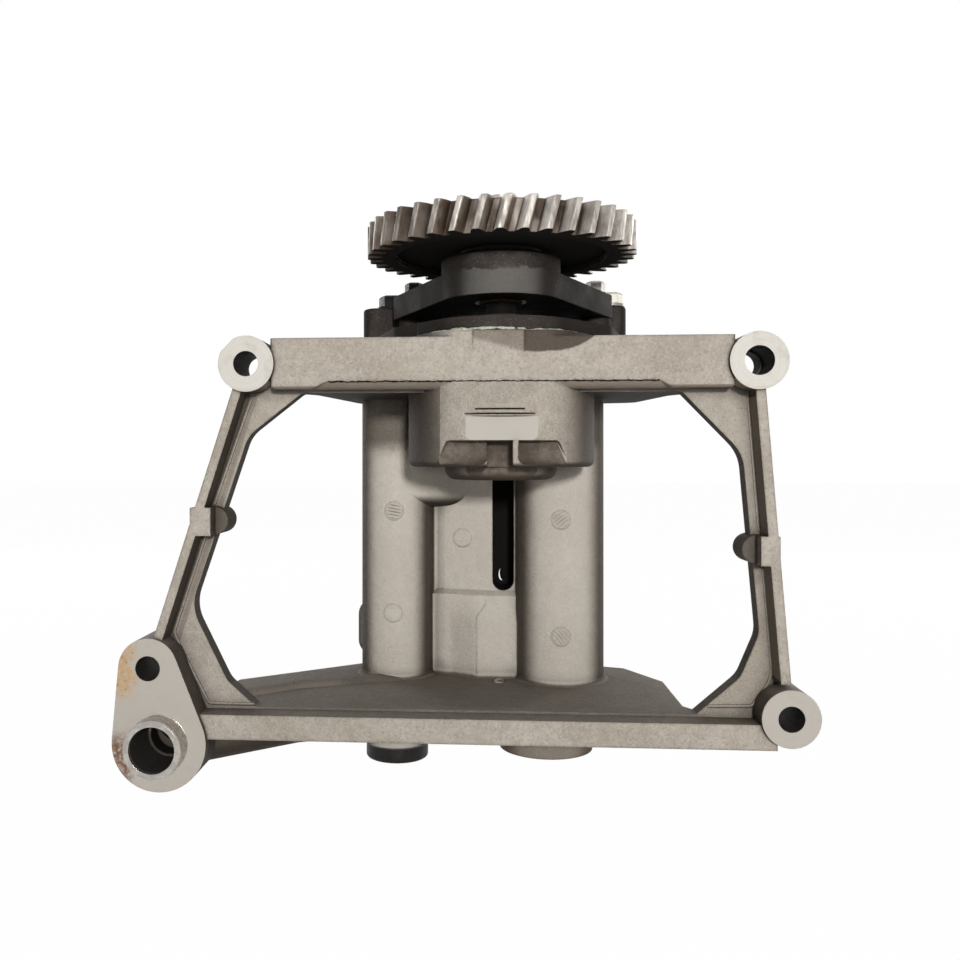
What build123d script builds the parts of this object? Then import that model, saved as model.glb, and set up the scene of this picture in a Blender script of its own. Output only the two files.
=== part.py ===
from build123d import *
from math import acos, cos, degrees, pi, radians, sin, tan
import os

# Engine oil pump: a gear pump hung in a cast bracket that bolts to the crankcase.
# Millimetres. The origin is the middle of the drive gear, on its axis. +Z runs up the
# drive shaft away from the pump, -Y faces the crankcase and +X is to the right.

# Drive gear, a helical spur gear on the top end of the drive shaft
gear_teeth = 38
gear_module = 3.0
gear_helix = 15.0
gear_front_tooth = -97.2
gear_dedendum = 1.25
gear_tooth_thinning = 0.1
gear_pressure_angle = 20.0
gear_face = 14.0
gear_web = 9.0
gear_rim = 6.5
gear_hub_radius = 19.0
gear_hub_proud = 2.0

# Drive shaft, its thread and its keys
shaft_radius = 10.0
neck_radius = 7.0
thread_radius = 8.0
thread_length = 12.5
shaft_end_proud = 1.0
key_width = 5.0
key_depth = 2.5
key_clearance = 0.02
pump_key_rise = 10.0
pump_key_length = 20.0
washer_radius = 15.0
washer_thickness = 2.5
nut_across_flats = 24.0
nut_height = 8.0

# Gear carrier: a hub with a three-cornered flange that stands on the pump cover
carrier_hub_radius = 27.7
carrier_height = 19.4
flange_thickness = 11.9
ear_radius = 8.5
left_ear = (-46.5, 55.0)
right_ear = (50.5, 57.0)
carrier_bolts = ((-44.0, 55.0), (50.5, 57.0))
thrust_thickness = 1.0
thrust_radius = 17.0
bush_wall = 2.0
bush_length = 14.0
running_clearance = 0.04
loose_fit = 0.3
small_gap = 0.05
edge_chamfer = 1.0
small_chamfer = 0.6

# Pump cover and its gasket
cover_plate = 6.0
cover_height = 17.2
cover_round = 38.5
cover_boss_radius = 8.0
cover_collar = 5.0
cover_collar_rise = 4.0
boss_top_round = 1.5
outer_boss_height = 25.7
outer_boss_radius = 8.7
left_boss = (-57.5, 76.0)
left_boss_lobe = (-64.5, 74.0)
right_boss = (60.0, 74.0)
rear_bosses = ((-31.0, 78.0), (31.0, 78.0))
front_screws = ((-43.0, 4.0), (44.0, 4.0))
gasket_thickness = 0.4
gasket_margin = 0.6

# Pump gears
pump_teeth = 11
pump_module = 4.0
pump_pressure_angle = 26.0
pump_face = 42.5
pump_end_play = 0.1
pump_tip_clearance = 0.08
pump_root_clearance = 1.0
pump_tooth_thinning = 0.12

# Bracket casting
mount_y = -40.0
boss_radius = 12.25
boss_length = 29.0
boss_proud = 2.5
bolt_hole_radius = 5.5
dowel_bore_radius = 6.25
dowel_bore_depth = 19.0
top_left = (-111.2, -59.0)
top_right = (107.2, -59.0)
low_left = (-154.7, -192.2)
low_right = (120.3, -209.3)

pad_rise = 2.7
pad_margin = 1.0
pad_set_back = 2.5
deck_thickness = 22.3
deck_left = -101.2
deck_right = 98.2
deck_flanks = ((deck_right, -12.0), (82.0, 20.0), (75.0, 80.0), (50.0, 89.0), (-50.0, 89.0),
               (-76.0, 82.0), (-88.0, 6.0), (deck_left, -14.0))
deck_rounds = [2.0, 2.0, 8.0, 12.0, 10.0, 10.0, 10.0, 10.0, 12.0, 8.0]
deck_edge_soft = 1.2
deck_edge_drop = 3.5
deck_edge_run = 6.0
crease_left = (-75.5, -83.0)
crease_right = (66.5, 72.0)
nose_middle = -1.5
nose_width = 22.2
nose_height = 9.0
nose_proud = 0.8
barrel_radius = 43.0
driven_barrel_radius = 39.0
barrel_depth = 59.0
barrel_round = 3.0
bearing_boss_radius = 26.0
bearing_boss_drop = 6.0
bearing_boss_round = 5.0
overlap = 1.0
milled_pad_top = -82.0
milled_pad_height = 10.4
milled_pad_back = 5.0
cutter_lines = ((0.9, 30.0, 0.7), (2.9, 21.0, 0.9))
cutter_line_height = 0.7
pocket_inner = 6.5
pocket_top = 24.0
pocket_foot = 29.0
pocket_depth = 10.0
pocket_lip = 1.2
pocket_rounds = [0.6, 2.5, 1.0, 3.0]
groove_middle = -1.2
groove_width = 11.0
groove_depth = 15.5
groove_drop = 20.0

left_column = (-53.0, 54.0)
left_column_radius = 18.5
right_column = (31.0, 48.0)
right_column_radius = 22.5
plate_top = -212.5
plate_thickness = 10.8
plate_front = (-133.8, 115.3)
plate_sides = ((115.3, -17.5), (88.0, -17.5), (82.0, -8.0), (82.0, 40.0), (67.0, 70.0),
               (50.0, 76.0), (-70.0, 76.0), (-95.0, 57.0), (-131.0, 30.0), (-140.0, -12.0))
column_web_back = 74.0
column_web = ((-40.0, 60.0), (-34.5, 55.5), (-28.0, 53.0), (-2.0, 46.5))
lower_web_top = -168.4
lower_web_proud = 2.0
web_step = 2.5
overhang_plan = ((-46.0, 42.0), (-38.5, 42.5), (-33.0, 45.5), (-17.0, 50.3), (8.0, 50.3))
overhang_back = 64.0
overhang_middle = -26.0
overhang_drops = (12.0, 16.2, 17.0)
spur = (-11.5, 12.0)
spur_top = -170.0
spur_slope = 14.0
spur_corner = (8.0, 11.2)
spur_front = 42.5
slot_left = -3.2
slot_right = 7.8
slot_foot = -168.3
slot_top = -100.0
slot_floor = 70.0
slot_hole = (1.8, 3.6)
side_bump = (-67.0, 66.0, -191.0)
side_bump_radius = 8.0
side_bump_height = 14.0

web_front_y = -26.0
web_back_y = -17.5
rail_width = 4.2
left_leg = ((-114.2, -59.0), (-155.2, -186.2))
right_leg = ((109.5, -59.0), (120.9, -195.3))
window_top = (78.0, -89.0)
window_left = ((-113.3, -90.0), (-139.5, -167.0), (-123.0, -200.0))
window_foot = (-110.0, 84.0)
window_right = ((103.0, -195.0), (111.0, -176.0), (104.0, -98.0))
window_rounds = [4.0, 14.0, 18.0, 12.0, 2.0, 2.0, 12.0, 14.0, 18.0, 4.0]
tab_height = 12.4
tab_reach = (-136.2, 116.0)
tab_boss_radius = 6.2
tab_boss_back = -13.5
tab_boss_length = 15.5
left_tab = (-128.0, -128.0)
right_tab = (109.0, -139.4)
boss_flat = 11.6

# Outlet: a steel sleeve in the lower left lug, fed by a duct under the plate
outlet_centre = (-149.8, -225.2)
lug_top_radius = 13.2
lug_radius = 21.0
sleeve_radius = 12.75
sleeve_shoulder = 0.25
sleeve_bore = 10.1
sleeve_proud = 9.6
sleeve_seat = 16.0
seal_section = 2.4
duct_radius = 15.0
duct_front_y = -22.0
duct_bore = 8.5
duct_mouth = 9.0
duct_route = ((-101.0, 19.0), (-53.0, 40.0))

# Inlet: a tapered boss under the right column
inlet_centre = (24.0, 45.0)
inlet_top_radius = 28.0
inlet_end_radius = 23.5
inlet_drop = 24.0
inlet_bore = 14.0
inlet_depth = 46.0
gallery_radius = 9.0
suction_gallery_radius = 12.0
port_inner = 12.0
port_floor = 2.0
port_height = 14.5

# Relief valve under the left column
valve_boss_radius = 17.5
valve_boss_drop = 24.7
valve_bore = 12.0
valve_seat_z = -231.0
piston_length = 6.5
piston_crown = 2.4
piston_wall = 2.2
piston_travel = 3.2
plug_head_radius = 16.2
plug_head_height = 7.2
plug_floor = 4.6
plug_socket = 12.0
plug_round = 1.6
plug_seal_thickness = 1.2
spring_wire = 1.6
spring_turns = 5
spill_radius = 1.5
spill_drop = 2.2

# Bolts, dowels and the small ball plug in the plate
bolt_radius = 4.0
bolt_across_flats = 13.0
bolt_head = 7.5
bolt_collar_radius = 8.2
bolt_collar = 1.5
bolt_hole_clearance = 0.35
bolt_engagement = 18.0
dowel_radius = 3.0
dowel_length = 12.0
dowels = ((-36.0, -12.0), (40.0, 32.0))
carrier_bolt_radius = 3.0
carrier_bolt_across_flats = 9.0
carrier_bolt_collar = 6.2
screw_radius = 3.0
screw_head_radius = 5.8
screw_head_depth = 3.0
screw_socket = 5.0
screw_socket_depth = 2.0
ball_radius = 3.4
ball_centre = (0.0, 35.0)
ball_rise = 1.6

# Levels that follow from the sizes above
gear_bottom = -gear_face / 2
carrier_top = gear_bottom - thrust_thickness
flange_bottom = carrier_top - carrier_height
flange_top = flange_bottom + flange_thickness
cover_bottom = flange_bottom - cover_height
cover_top = cover_bottom + cover_plate
body_face = cover_bottom - gasket_thickness
deck_top = body_face - pad_rise
deck_bottom = deck_top - deck_thickness
barrel_bottom = body_face - barrel_depth
chamber_floor = cover_bottom - pump_face - pump_end_play
plate_bottom = plate_top - plate_thickness
valve_boss_bottom = plate_bottom - valve_boss_drop
inlet_top = plate_bottom - inlet_drop + inlet_depth
beam_front_y = mount_y + boss_proud
seat_radius = sleeve_radius + sleeve_shoulder
shaft_bottom = chamber_floor - bush_length
pump_pitch_radius = pump_teeth * pump_module / 2
axis_distance = 2 * pump_pitch_radius
pump_tip_radius = pump_pitch_radius + pump_module
chamber_radius = pump_tip_radius + pump_tip_clearance
driven_axis = (0.0, axis_distance)
bush_radius = neck_radius + bush_wall
hub_bush_radius = shaft_radius + bush_wall
gear_pitch_radius = gear_teeth * gear_module / cos(radians(gear_helix)) / 2
gear_tip_radius = gear_pitch_radius + gear_module
gear_root_radius = gear_pitch_radius - gear_dedendum * gear_module
pump_root_radius = pump_pitch_radius - pump_module - pump_root_clearance
pump_gear_bottom = chamber_floor + pump_end_play / 2
pump_key_bottom = pump_gear_bottom + pump_key_rise
plug_top = valve_seat_z - piston_length - piston_travel - loose_fit
plug_head_top = valve_boss_bottom - plug_seal_thickness
plug_head_bottom = plug_head_top - plug_head_height
plug_pocket_bottom = plug_head_bottom + plug_floor


def facing(y):
    """Plane that faces the crankcase at this Y, drawn with X across and Z up."""
    return Plane.XZ.offset(-y)


def level(z):
    """Level plane at this height."""
    return Plane.XY.offset(z)


def finish(part, name):
    """Label one piece and write it to its own file."""
    part.label = name
    export_step(part, f"parts/{name}.step")


def involute(angle):
    """Involute function of a pressure angle."""
    return tan(angle) - angle


def tooth_half_angle(radius, pitch, pressure, half_at_pitch):
    """Half the angle that a tooth fills at a radius, which is taken no lower than the base."""
    base = pitch * cos(pressure)
    at = acos(min(1.0, base / radius))
    return half_at_pitch + involute(pressure) - involute(at)


def polar(radius, angle):
    """Point at this radius and angle."""
    return (radius * cos(angle), radius * sin(angle))


def gear_profile(teeth, pitch, tip, root, pressure, thinning, phase=0.0):
    """Outline of a gear: arcs through the involute on each flank, and arcs at tip and root."""
    pressure = radians(pressure)
    half_at_pitch = pi / teeth / 2 - thinning / pitch
    flank_start = max(root, pitch * cos(pressure) + small_gap)
    radii = [flank_start + (tip - flank_start) * step / 4 for step in range(5)]
    halves = [tooth_half_angle(r, pitch, pressure, half_at_pitch) for r in radii]
    step = 2 * pi / teeth
    with BuildSketch() as profile:
        with BuildLine():
            for tooth in range(teeth):
                mid = phase + tooth * step
                rising = [polar(r, mid - h) for r, h in zip(radii, halves)]
                falling = [polar(r, mid + h) for r, h in zip(radii, halves)][::-1]
                foot, heel = polar(root, mid - halves[0]), polar(root, mid + halves[0])
                next_foot = polar(root, mid + step - halves[0])
                if flank_start > root:
                    Line(foot, rising[0])
                    Line(falling[-1], heel)
                ThreePointArc(rising[0], rising[1], rising[2])
                ThreePointArc(rising[2], rising[3], rising[4])
                ThreePointArc(rising[4], polar(tip, mid), falling[0])
                ThreePointArc(falling[0], falling[1], falling[2])
                ThreePointArc(falling[2], falling[3], falling[4])
                ThreePointArc(heel, polar(root, mid + step / 2), next_foot)
        make_face()
    return profile.sketch


def duct_leg(start, end, height, radius):
    """Round bar between two points of the plan at one height, with round ends."""
    run = Vector(end[0] - start[0], end[1] - start[1], 0)
    with BuildPart() as leg:
        with BuildSketch(Plane(origin=(start[0], start[1], height), z_dir=run)):
            Circle(radius)
        extrude(amount=run.length)
        with Locations((start[0], start[1], height), (end[0], end[1], height)):
            Sphere(radius)
    return leg.part


def beam_undercut():
    """Wedge taken from under the front of the beam, with slanting ends."""
    crease = deck_bottom + deck_edge_drop
    with BuildPart() as wedge:
        with BuildSketch(Plane.YZ.offset(crease_left[1])):
            with BuildLine():
                Polyline((beam_front_y, crease), (beam_front_y + deck_edge_run, deck_bottom),
                         (beam_front_y, deck_bottom), close=True)
            make_face()
        extrude(amount=crease_right[1] - crease_left[1])
        with BuildSketch(facing(beam_front_y + deck_edge_run)):
            with BuildLine():
                Polyline((crease_left[0], crease), (crease_right[0], crease),
                         (crease_right[1], deck_bottom), (crease_left[1], deck_bottom),
                         close=True)
            make_face()
        extrude(amount=deck_edge_run, mode=Mode.INTERSECT)
    return wedge.part


def top_deck():
    """Thick deck that closes the pump and carries its cover. Its front is the cross beam."""
    with BuildPart() as deck:
        with BuildSketch(level(deck_bottom)):
            with BuildLine():
                FilletPolyline((deck_left, beam_front_y), (deck_right, beam_front_y),
                               *deck_flanks, close=True, radius=deck_rounds)
            make_face()
        extrude(amount=deck_thickness)
        chamfer(deck.edges().group_by(Axis.Z)[0], deck_edge_soft)
        add(beam_undercut(), mode=Mode.SUBTRACT)
        with BuildSketch(level(deck_top)):
            add(cover_outline(pad_margin))
        extrude(amount=pad_rise)
        with BuildSketch(facing(beam_front_y + pad_set_back)):
            with Locations((0, deck_top + pad_rise)):
                Rectangle(3 * barrel_radius, 2 * pad_rise)
        extrude(amount=barrel_radius, mode=Mode.SUBTRACT)
        with BuildSketch(Plane.YZ.offset(nose_middle - nose_width / 2)):
            nose_back = beam_front_y + 2 * pad_set_back
            with BuildLine():
                Polyline(
                    (nose_back, body_face), (beam_front_y - nose_proud, body_face),
                    (beam_front_y - nose_proud, body_face - nose_height / 2),
                    (beam_front_y, body_face - nose_height),
                    (nose_back, body_face - nose_height), close=True,
                )
            make_face()
        extrude(amount=nose_width)
    return deck.part


def cover_outline(margin=0.0):
    """Plan of the cover: a hull round both pump gears and every bolt boss."""
    with BuildSketch() as outline:
        with Locations((0, 0), driven_axis):
            Circle(cover_round + margin)
        with Locations(left_boss, left_boss_lobe, right_boss):
            Circle(outer_boss_radius + margin)
        with Locations(*carrier_bolts, *rear_bosses, *front_screws):
            Circle(cover_boss_radius + margin)
        make_hull()
    return outline.sketch


def pump_barrel():
    """Barrel round the two pump gears, with its bearing boss and the milled pad in front."""
    lower = barrel_bottom
    pad_bottom = milled_pad_top - milled_pad_height
    crease = deck_bottom + deck_edge_drop
    outside = -2 * barrel_radius
    round_top = milled_pad_top + milled_pad_back
    with BuildPart() as barrel:
        with BuildSketch(level(lower)):
            Circle(barrel_radius)
            with Locations(driven_axis):
                Circle(driven_barrel_radius)
            make_hull()
        extrude(amount=body_face - lower)
        fillet(barrel.edges().group_by(Axis.Z)[0], barrel_round)
        with BuildSketch(level(lower - bearing_boss_drop)):
            Circle(bearing_boss_radius)
        extrude(amount=bearing_boss_drop + overlap)
        fillet(barrel.edges().group_by(Axis.Z)[0], bearing_boss_round)
        # the front falls back from the barrel's round to the flat front of the beam
        with BuildSketch(Plane.YZ.offset(outside)):
            with BuildLine():
                Polyline((outside, body_face), (beam_front_y, body_face),
                         (beam_front_y, crease), (-barrel_radius, round_top),
                         (outside, round_top), close=True)
            make_face()
        extrude(amount=4 * barrel_radius, mode=Mode.SUBTRACT)
        # milled pad, with the two lines that the cutter left above it
        with BuildSketch(facing(mount_y)):
            with Locations((0, (milled_pad_top + pad_bottom) / 2)):
                Rectangle(3 * barrel_radius, milled_pad_height)
        extrude(amount=barrel_radius, mode=Mode.SUBTRACT)
        for rise, width, depth in cutter_lines:
            with BuildSketch(facing(mount_y + depth)):
                with Locations((groove_middle, milled_pad_top + rise)):
                    Rectangle(width, cutter_line_height)
            extrude(amount=barrel_radius, mode=Mode.SUBTRACT)
        with BuildSketch(facing(pocket_depth - barrel_radius)):
            for side in (-1, 1):
                with BuildLine():
                    FilletPolyline(
                        (side * pocket_inner, pad_bottom), (side * pocket_top, pad_bottom),
                        (side * pocket_foot, lower + pocket_lip),
                        (side * pocket_inner, lower + pocket_lip),
                        close=True, radius=pocket_rounds,
                    )
                make_face()
        extrude(amount=barrel_radius, mode=Mode.SUBTRACT)
        with BuildSketch(facing(groove_depth - barrel_radius)):
            with Locations((groove_middle, pad_bottom - groove_drop / 2)):
                Rectangle(groove_width, groove_drop)
        extrude(amount=barrel_radius, mode=Mode.SUBTRACT)
    return barrel.part


def column_web_plan(proud):
    """Plan of the web between the columns, whose front leans forward towards the slot."""
    (left, back), corner, bend, tip = column_web
    with BuildSketch() as plan:
        with BuildLine():
            Polyline((left, column_web_back), (left, back), (corner[0], corner[1] - proud),
                     (bend[0], bend[1] - proud), (tip[0], tip[1] - proud),
                     (right_column[0], tip[1] - proud), (right_column[0], column_web_back),
                     close=True)
        make_face()
    return plan.sketch


def spur_block():
    """Proud lower right part of the web, with a sloping top under the slot."""
    left, right = spur
    with BuildPart() as block:
        with BuildSketch(Plane.YZ.offset(left)):
            with BuildLine():
                Polyline((overhang_back, spur_top), (column_web[-1][1], spur_top),
                         (spur_front, spur_top - spur_slope), (spur_front, plate_top - overlap),
                         (overhang_back, plate_top - overlap), close=True)
            make_face()
        extrude(amount=right - left)
        with BuildSketch(facing(column_web_back)):
            with BuildLine():
                Polyline((left, plate_top - overlap), (right, plate_top - overlap), (right, spur_top),
                         (left + spur_corner[0], spur_top), (left, spur_top - spur_corner[1]),
                         close=True)
            make_face()
        extrude(amount=column_web_back, mode=Mode.INTERSECT)
    return block.part


def web_overhang():
    """Top of the web, which swells forward to the left column and has a curved lower lip."""
    right = overhang_plan[-1][0]
    left = overhang_plan[0][0]
    low = [barrel_bottom - drop for drop in overhang_drops]
    with BuildPart() as swell:
        with BuildSketch(facing(overhang_back)):
            with BuildLine():
                Line((right, deck_bottom + overlap), (right, low[0]))
                ThreePointArc((right, low[0]), (overhang_middle, low[1]), (left, low[2]))
                Line((left, low[2]), (left, deck_bottom + overlap))
                Line((left, deck_bottom + overlap), (right, deck_bottom + overlap))
            make_face()
        extrude(amount=overhang_back)
        with BuildSketch(level(plate_top)):
            with BuildLine():
                Polyline(*overhang_plan, (right, overhang_back), (left, overhang_back), close=True)
            make_face()
        extrude(amount=deck_top - plate_top, mode=Mode.INTERSECT)
    return swell.part


def columns():
    """Suction and pressure columns with the stepped web and the slot between them."""
    height = deck_bottom - plate_top + 2 * overlap
    with BuildPart() as group:
        with BuildSketch(level(plate_top - overlap)):
            with Locations(left_column):
                Circle(left_column_radius)
            with Locations(right_column):
                Circle(right_column_radius)
        extrude(amount=height)
        with BuildSketch(level(plate_top - overlap)):
            add(column_web_plan(0))
        extrude(amount=height)
        with BuildSketch(level(plate_top - overlap)):
            add(column_web_plan(lower_web_proud))
        extrude(amount=lower_web_top - web_step - plate_top + overlap)
        with BuildSketch(level(lower_web_top - web_step)):
            add(column_web_plan(lower_web_proud))
        with BuildSketch(level(lower_web_top)):
            add(column_web_plan(small_gap))
        loft()
        add(spur_block())
        add(web_overhang())
        with Locations(side_bump):
            Cylinder(side_bump_radius, side_bump_height)
            with Locations((0, 0, side_bump_height / 2), (0, 0, -side_bump_height / 2)):
                Sphere(side_bump_radius)
        slot_round = (slot_right - slot_left) / 2
        slot_middle = (slot_right + slot_left) / 2
        with BuildSketch(facing(slot_floor)):
            with BuildLine():
                Line((slot_left, slot_top), (slot_right, slot_top))
                Line((slot_right, slot_top), (slot_right, slot_foot + slot_round))
                ThreePointArc((slot_right, slot_foot + slot_round), (slot_middle, slot_foot),
                              (slot_left, slot_foot + slot_round))
                Line((slot_left, slot_foot + slot_round), (slot_left, slot_top))
            make_face()
        extrude(amount=slot_floor, mode=Mode.SUBTRACT)
        with BuildSketch(facing(column_web_back + overlap)):
            with Locations((slot_middle, slot_foot + slot_round)):
                Ellipse(*slot_hole)
        extrude(amount=column_web_back, mode=Mode.SUBTRACT)
    return group.part


def frame_web():
    """Two raking legs with a thin web and an outer rail, and the tabs half way down."""
    with BuildPart() as web:
        with BuildSketch(facing(web_back_y)) as outline:
            with BuildLine():
                Polyline(*left_leg, (plate_front[0], plate_bottom), (low_right[0], plate_bottom),
                         *right_leg[::-1], close=True)
            make_face()
            with BuildLine():
                FilletPolyline(
                    (window_top[1], deck_bottom - overlap), *window_left,
                    (window_foot[0], plate_top + overlap), (window_foot[1], plate_top + overlap),
                    *window_right, (window_top[0], deck_bottom - overlap), close=True,
                    radius=window_rounds,
                )
            make_face(mode=Mode.SUBTRACT)
        extrude(amount=web_back_y - web_front_y)
        with BuildSketch(facing(web_back_y)):
            for outer, (start, end) in ((-1, left_leg), (1, right_leg)):
                with BuildLine():
                    Polyline(
                        start, end, (end[0] - outer * rail_width, end[1]),
                        (start[0] - outer * rail_width, start[1]), close=True,
                    )
                make_face()
        extrude(amount=web_back_y - beam_front_y)
        for outside, tab in zip(tab_reach, (left_tab, right_tab)):
            with BuildSketch(facing(web_back_y)):
                with Locations(((tab[0] + outside) / 2, tab[1])):
                    Rectangle(abs(tab[0] - outside) + overlap, tab_height)
            extrude(amount=web_back_y - beam_front_y)
            with BuildSketch(facing(tab_boss_back)):
                with Locations(tab):
                    Circle(tab_boss_radius)
            extrude(amount=tab_boss_length)
    return web.part


def base_plate():
    """Plate under the columns, with the duct to the outlet, the inlet and the valve boss."""
    with BuildPart() as plate:
        with BuildSketch(level(plate_bottom)) as plan:
            with BuildLine():
                Polyline((plate_front[0], beam_front_y), (plate_front[1], beam_front_y),
                         *plate_sides, close=True)
            make_face()
        extrude(amount=plate_thickness)
        route = ((outlet_centre[0], duct_front_y),) + duct_route
        for start, end in zip(route[:-1], route[1:]):
            add(duct_leg(start, end, outlet_centre[1], duct_radius))
        with BuildSketch(level(valve_boss_bottom)):
            with Locations(left_column):
                Circle(valve_boss_radius)
        extrude(amount=valve_boss_drop + overlap)
        with BuildSketch(level(plate_bottom - inlet_drop)):
            with Locations(inlet_centre):
                Circle(inlet_end_radius)
        with BuildSketch(level(plate_bottom + overlap)):
            with Locations(inlet_centre):
                Circle(inlet_top_radius)
        loft()
    return plate.part


def mounting_bosses():
    """Four bolt bosses. The lower left one shares a lug with the outlet."""
    with BuildPart() as bosses:
        with BuildSketch(facing(mount_y + boss_length)):
            with Locations(top_left, top_right, low_right):
                Circle(boss_radius)
        extrude(amount=boss_length)
        with BuildSketch(facing(mount_y + boss_length)):
            with Locations(low_left):
                Circle(lug_top_radius)
            with Locations(outlet_centre):
                Circle(lug_radius)
            make_hull()
        extrude(amount=boss_length)
        # the casting's parting line leaves a small flat on the upper left boss
        with BuildSketch(facing(mount_y + boss_length)):
            with Locations(Location((top_left[0], top_left[1], 0), (0, 0, 135))):
                with Locations((boss_flat + boss_radius, 0)):
                    Rectangle(2 * boss_radius, 2 * boss_radius)
        extrude(amount=boss_length, mode=Mode.SUBTRACT)
    return bosses.part


def pump_bracket():
    """The whole casting: deck, barrel, columns, legs, plate and bosses, then every bore."""
    with BuildPart() as bracket:
        add(top_deck())
        add(pump_barrel())
        add(columns())
        add(frame_web())
        add(base_plate())
        add(mounting_bosses())
        # pump chamber and the two blind bush seats in its floor
        with BuildSketch(level(body_face)):
            with Locations((0, 0), driven_axis):
                Circle(chamber_radius)
        extrude(amount=chamber_floor - body_face, mode=Mode.SUBTRACT)
        with BuildSketch(level(body_face)):
            with Locations((0, 0), driven_axis):
                Circle(bush_radius)
        extrude(amount=shaft_bottom - overlap - body_face, mode=Mode.SUBTRACT)
        # suction and pressure pockets beside the mesh, and the galleries down the columns
        for column, reach, bottom in (
            (left_column, gallery_radius, valve_seat_z),
            (right_column, suction_gallery_radius, inlet_top - small_gap),
        ):
            side = -1 if column[0] < 0 else 1
            with BuildSketch(level(chamber_floor + port_floor)):
                with Locations((side * port_inner, pump_pitch_radius), column):
                    Circle(gallery_radius)
                make_hull()
            extrude(amount=port_height, mode=Mode.SUBTRACT)
            with BuildSketch(level(bottom)):
                with Locations(column):
                    Circle(reach)
            extrude(amount=chamber_floor + port_height - bottom, mode=Mode.SUBTRACT)
        # relief valve bore, its spill hole, the inlet bore and the outlet duct
        with BuildSketch(level(valve_boss_bottom)):
            with Locations(left_column):
                Circle(valve_bore)
        extrude(amount=valve_seat_z - valve_boss_bottom, mode=Mode.SUBTRACT)
        with BuildSketch(facing(left_column[1])):
            with Locations((left_column[0], valve_seat_z - spill_drop)):
                Circle(spill_radius)
        extrude(amount=-2 * valve_boss_radius, mode=Mode.SUBTRACT)
        with BuildSketch(level(plate_bottom - inlet_drop)):
            with Locations(inlet_centre):
                Circle(inlet_bore)
        extrude(amount=inlet_depth, mode=Mode.SUBTRACT)
        route = ((outlet_centre[0], mount_y + sleeve_seat + duct_mouth),) + duct_route[:1]
        route = route + ((left_column[0], left_column[1]),)
        for start, end in zip(route[:-1], route[1:]):
            add(duct_leg(start, end, valve_seat_z + gallery_radius, duct_bore),
                mode=Mode.SUBTRACT)
        with BuildSketch(facing(mount_y)):
            with Locations(outlet_centre):
                Circle(duct_mouth)
        extrude(amount=-sleeve_seat - duct_mouth, mode=Mode.SUBTRACT)
        with BuildSketch(facing(mount_y)):
            with Locations(outlet_centre):
                Circle(seat_radius)
        extrude(amount=-sleeve_seat, mode=Mode.SUBTRACT)
        # bolt holes through the bosses, the dowel bore, cover bolt holes and dowel holes
        with BuildSketch(facing(mount_y)):
            with Locations(top_left, top_right, low_left, low_right):
                Circle(bolt_hole_radius)
        extrude(amount=-boss_length, mode=Mode.SUBTRACT)
        with BuildSketch(facing(mount_y)):
            with Locations(top_right):
                Circle(dowel_bore_radius)
        extrude(amount=-dowel_bore_depth, mode=Mode.SUBTRACT)
        with BuildSketch(level(body_face)):
            with Locations(left_boss, right_boss, *rear_bosses):
                Circle(bolt_radius)
            with Locations(*carrier_bolts, *front_screws):
                Circle(screw_radius)
        extrude(amount=-bolt_engagement - 2 * overlap, mode=Mode.SUBTRACT)
        with BuildSketch(level(body_face)):
            with Locations(*dowels):
                Circle(dowel_radius)
        extrude(amount=-dowel_length / 2, mode=Mode.SUBTRACT)
        with BuildSketch(level(plate_top)):
            with Locations(ball_centre):
                Circle(ball_radius)
        extrude(amount=-2 * ball_radius, mode=Mode.SUBTRACT)
    return bracket.part


def hex_bolt(at, seat_z, length, radius, across_flats, collar):
    """Flange bolt with a hexagon head, pointing down from its seat."""
    with BuildPart() as bolt:
        with BuildSketch(Plane(origin=(at[0], at[1], seat_z))):
            Circle(collar)
        extrude(amount=bolt_collar)
        with BuildSketch(Plane(origin=(at[0], at[1], seat_z + bolt_collar))):
            RegularPolygon(across_flats / 2, 6, major_radius=False)
        extrude(amount=bolt_head - bolt_collar)
        chamfer(bolt.edges().group_by(Axis.Z)[-1], edge_chamfer)
        with BuildSketch(Plane(origin=(at[0], at[1], seat_z))):
            Circle(radius - small_gap)
        extrude(amount=-length)
    return bolt.part


def cover_bolt(at, boss_height=cover_height):
    """Bolt that holds the cover down, from the top of its boss into the bracket."""
    length = boss_height + gasket_thickness + bolt_engagement
    return hex_bolt(at, cover_bottom + boss_height, length, bolt_radius, bolt_across_flats,
                    bolt_collar_radius)


def front_screw(at):
    """Countersunk screw that lies flush in the front of the cover."""
    with BuildPart() as screw:
        with Locations((at[0], at[1], cover_top - screw_head_depth / 2)):
            Cone(screw_radius - small_gap, screw_head_radius, screw_head_depth)
        with BuildSketch(Plane(origin=(at[0], at[1], cover_top - screw_head_depth))):
            Circle(screw_radius - small_gap)
        extrude(amount=screw_head_depth - cover_plate - gasket_thickness - bolt_engagement)
        with BuildSketch(Plane(origin=(at[0], at[1], cover_top))):
            RegularPolygon(screw_socket / 2, 6, major_radius=False)
        extrude(amount=-screw_socket_depth, mode=Mode.SUBTRACT)
    return screw.part


def carrier_bolt(at):
    """Longer, thinner bolt that holds the carrier's ear and the cover boss under it."""
    length = flange_thickness + cover_height + gasket_thickness + bolt_engagement
    return hex_bolt(at, flange_top, length, carrier_bolt_radius, carrier_bolt_across_flats,
                    carrier_bolt_collar)


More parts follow.
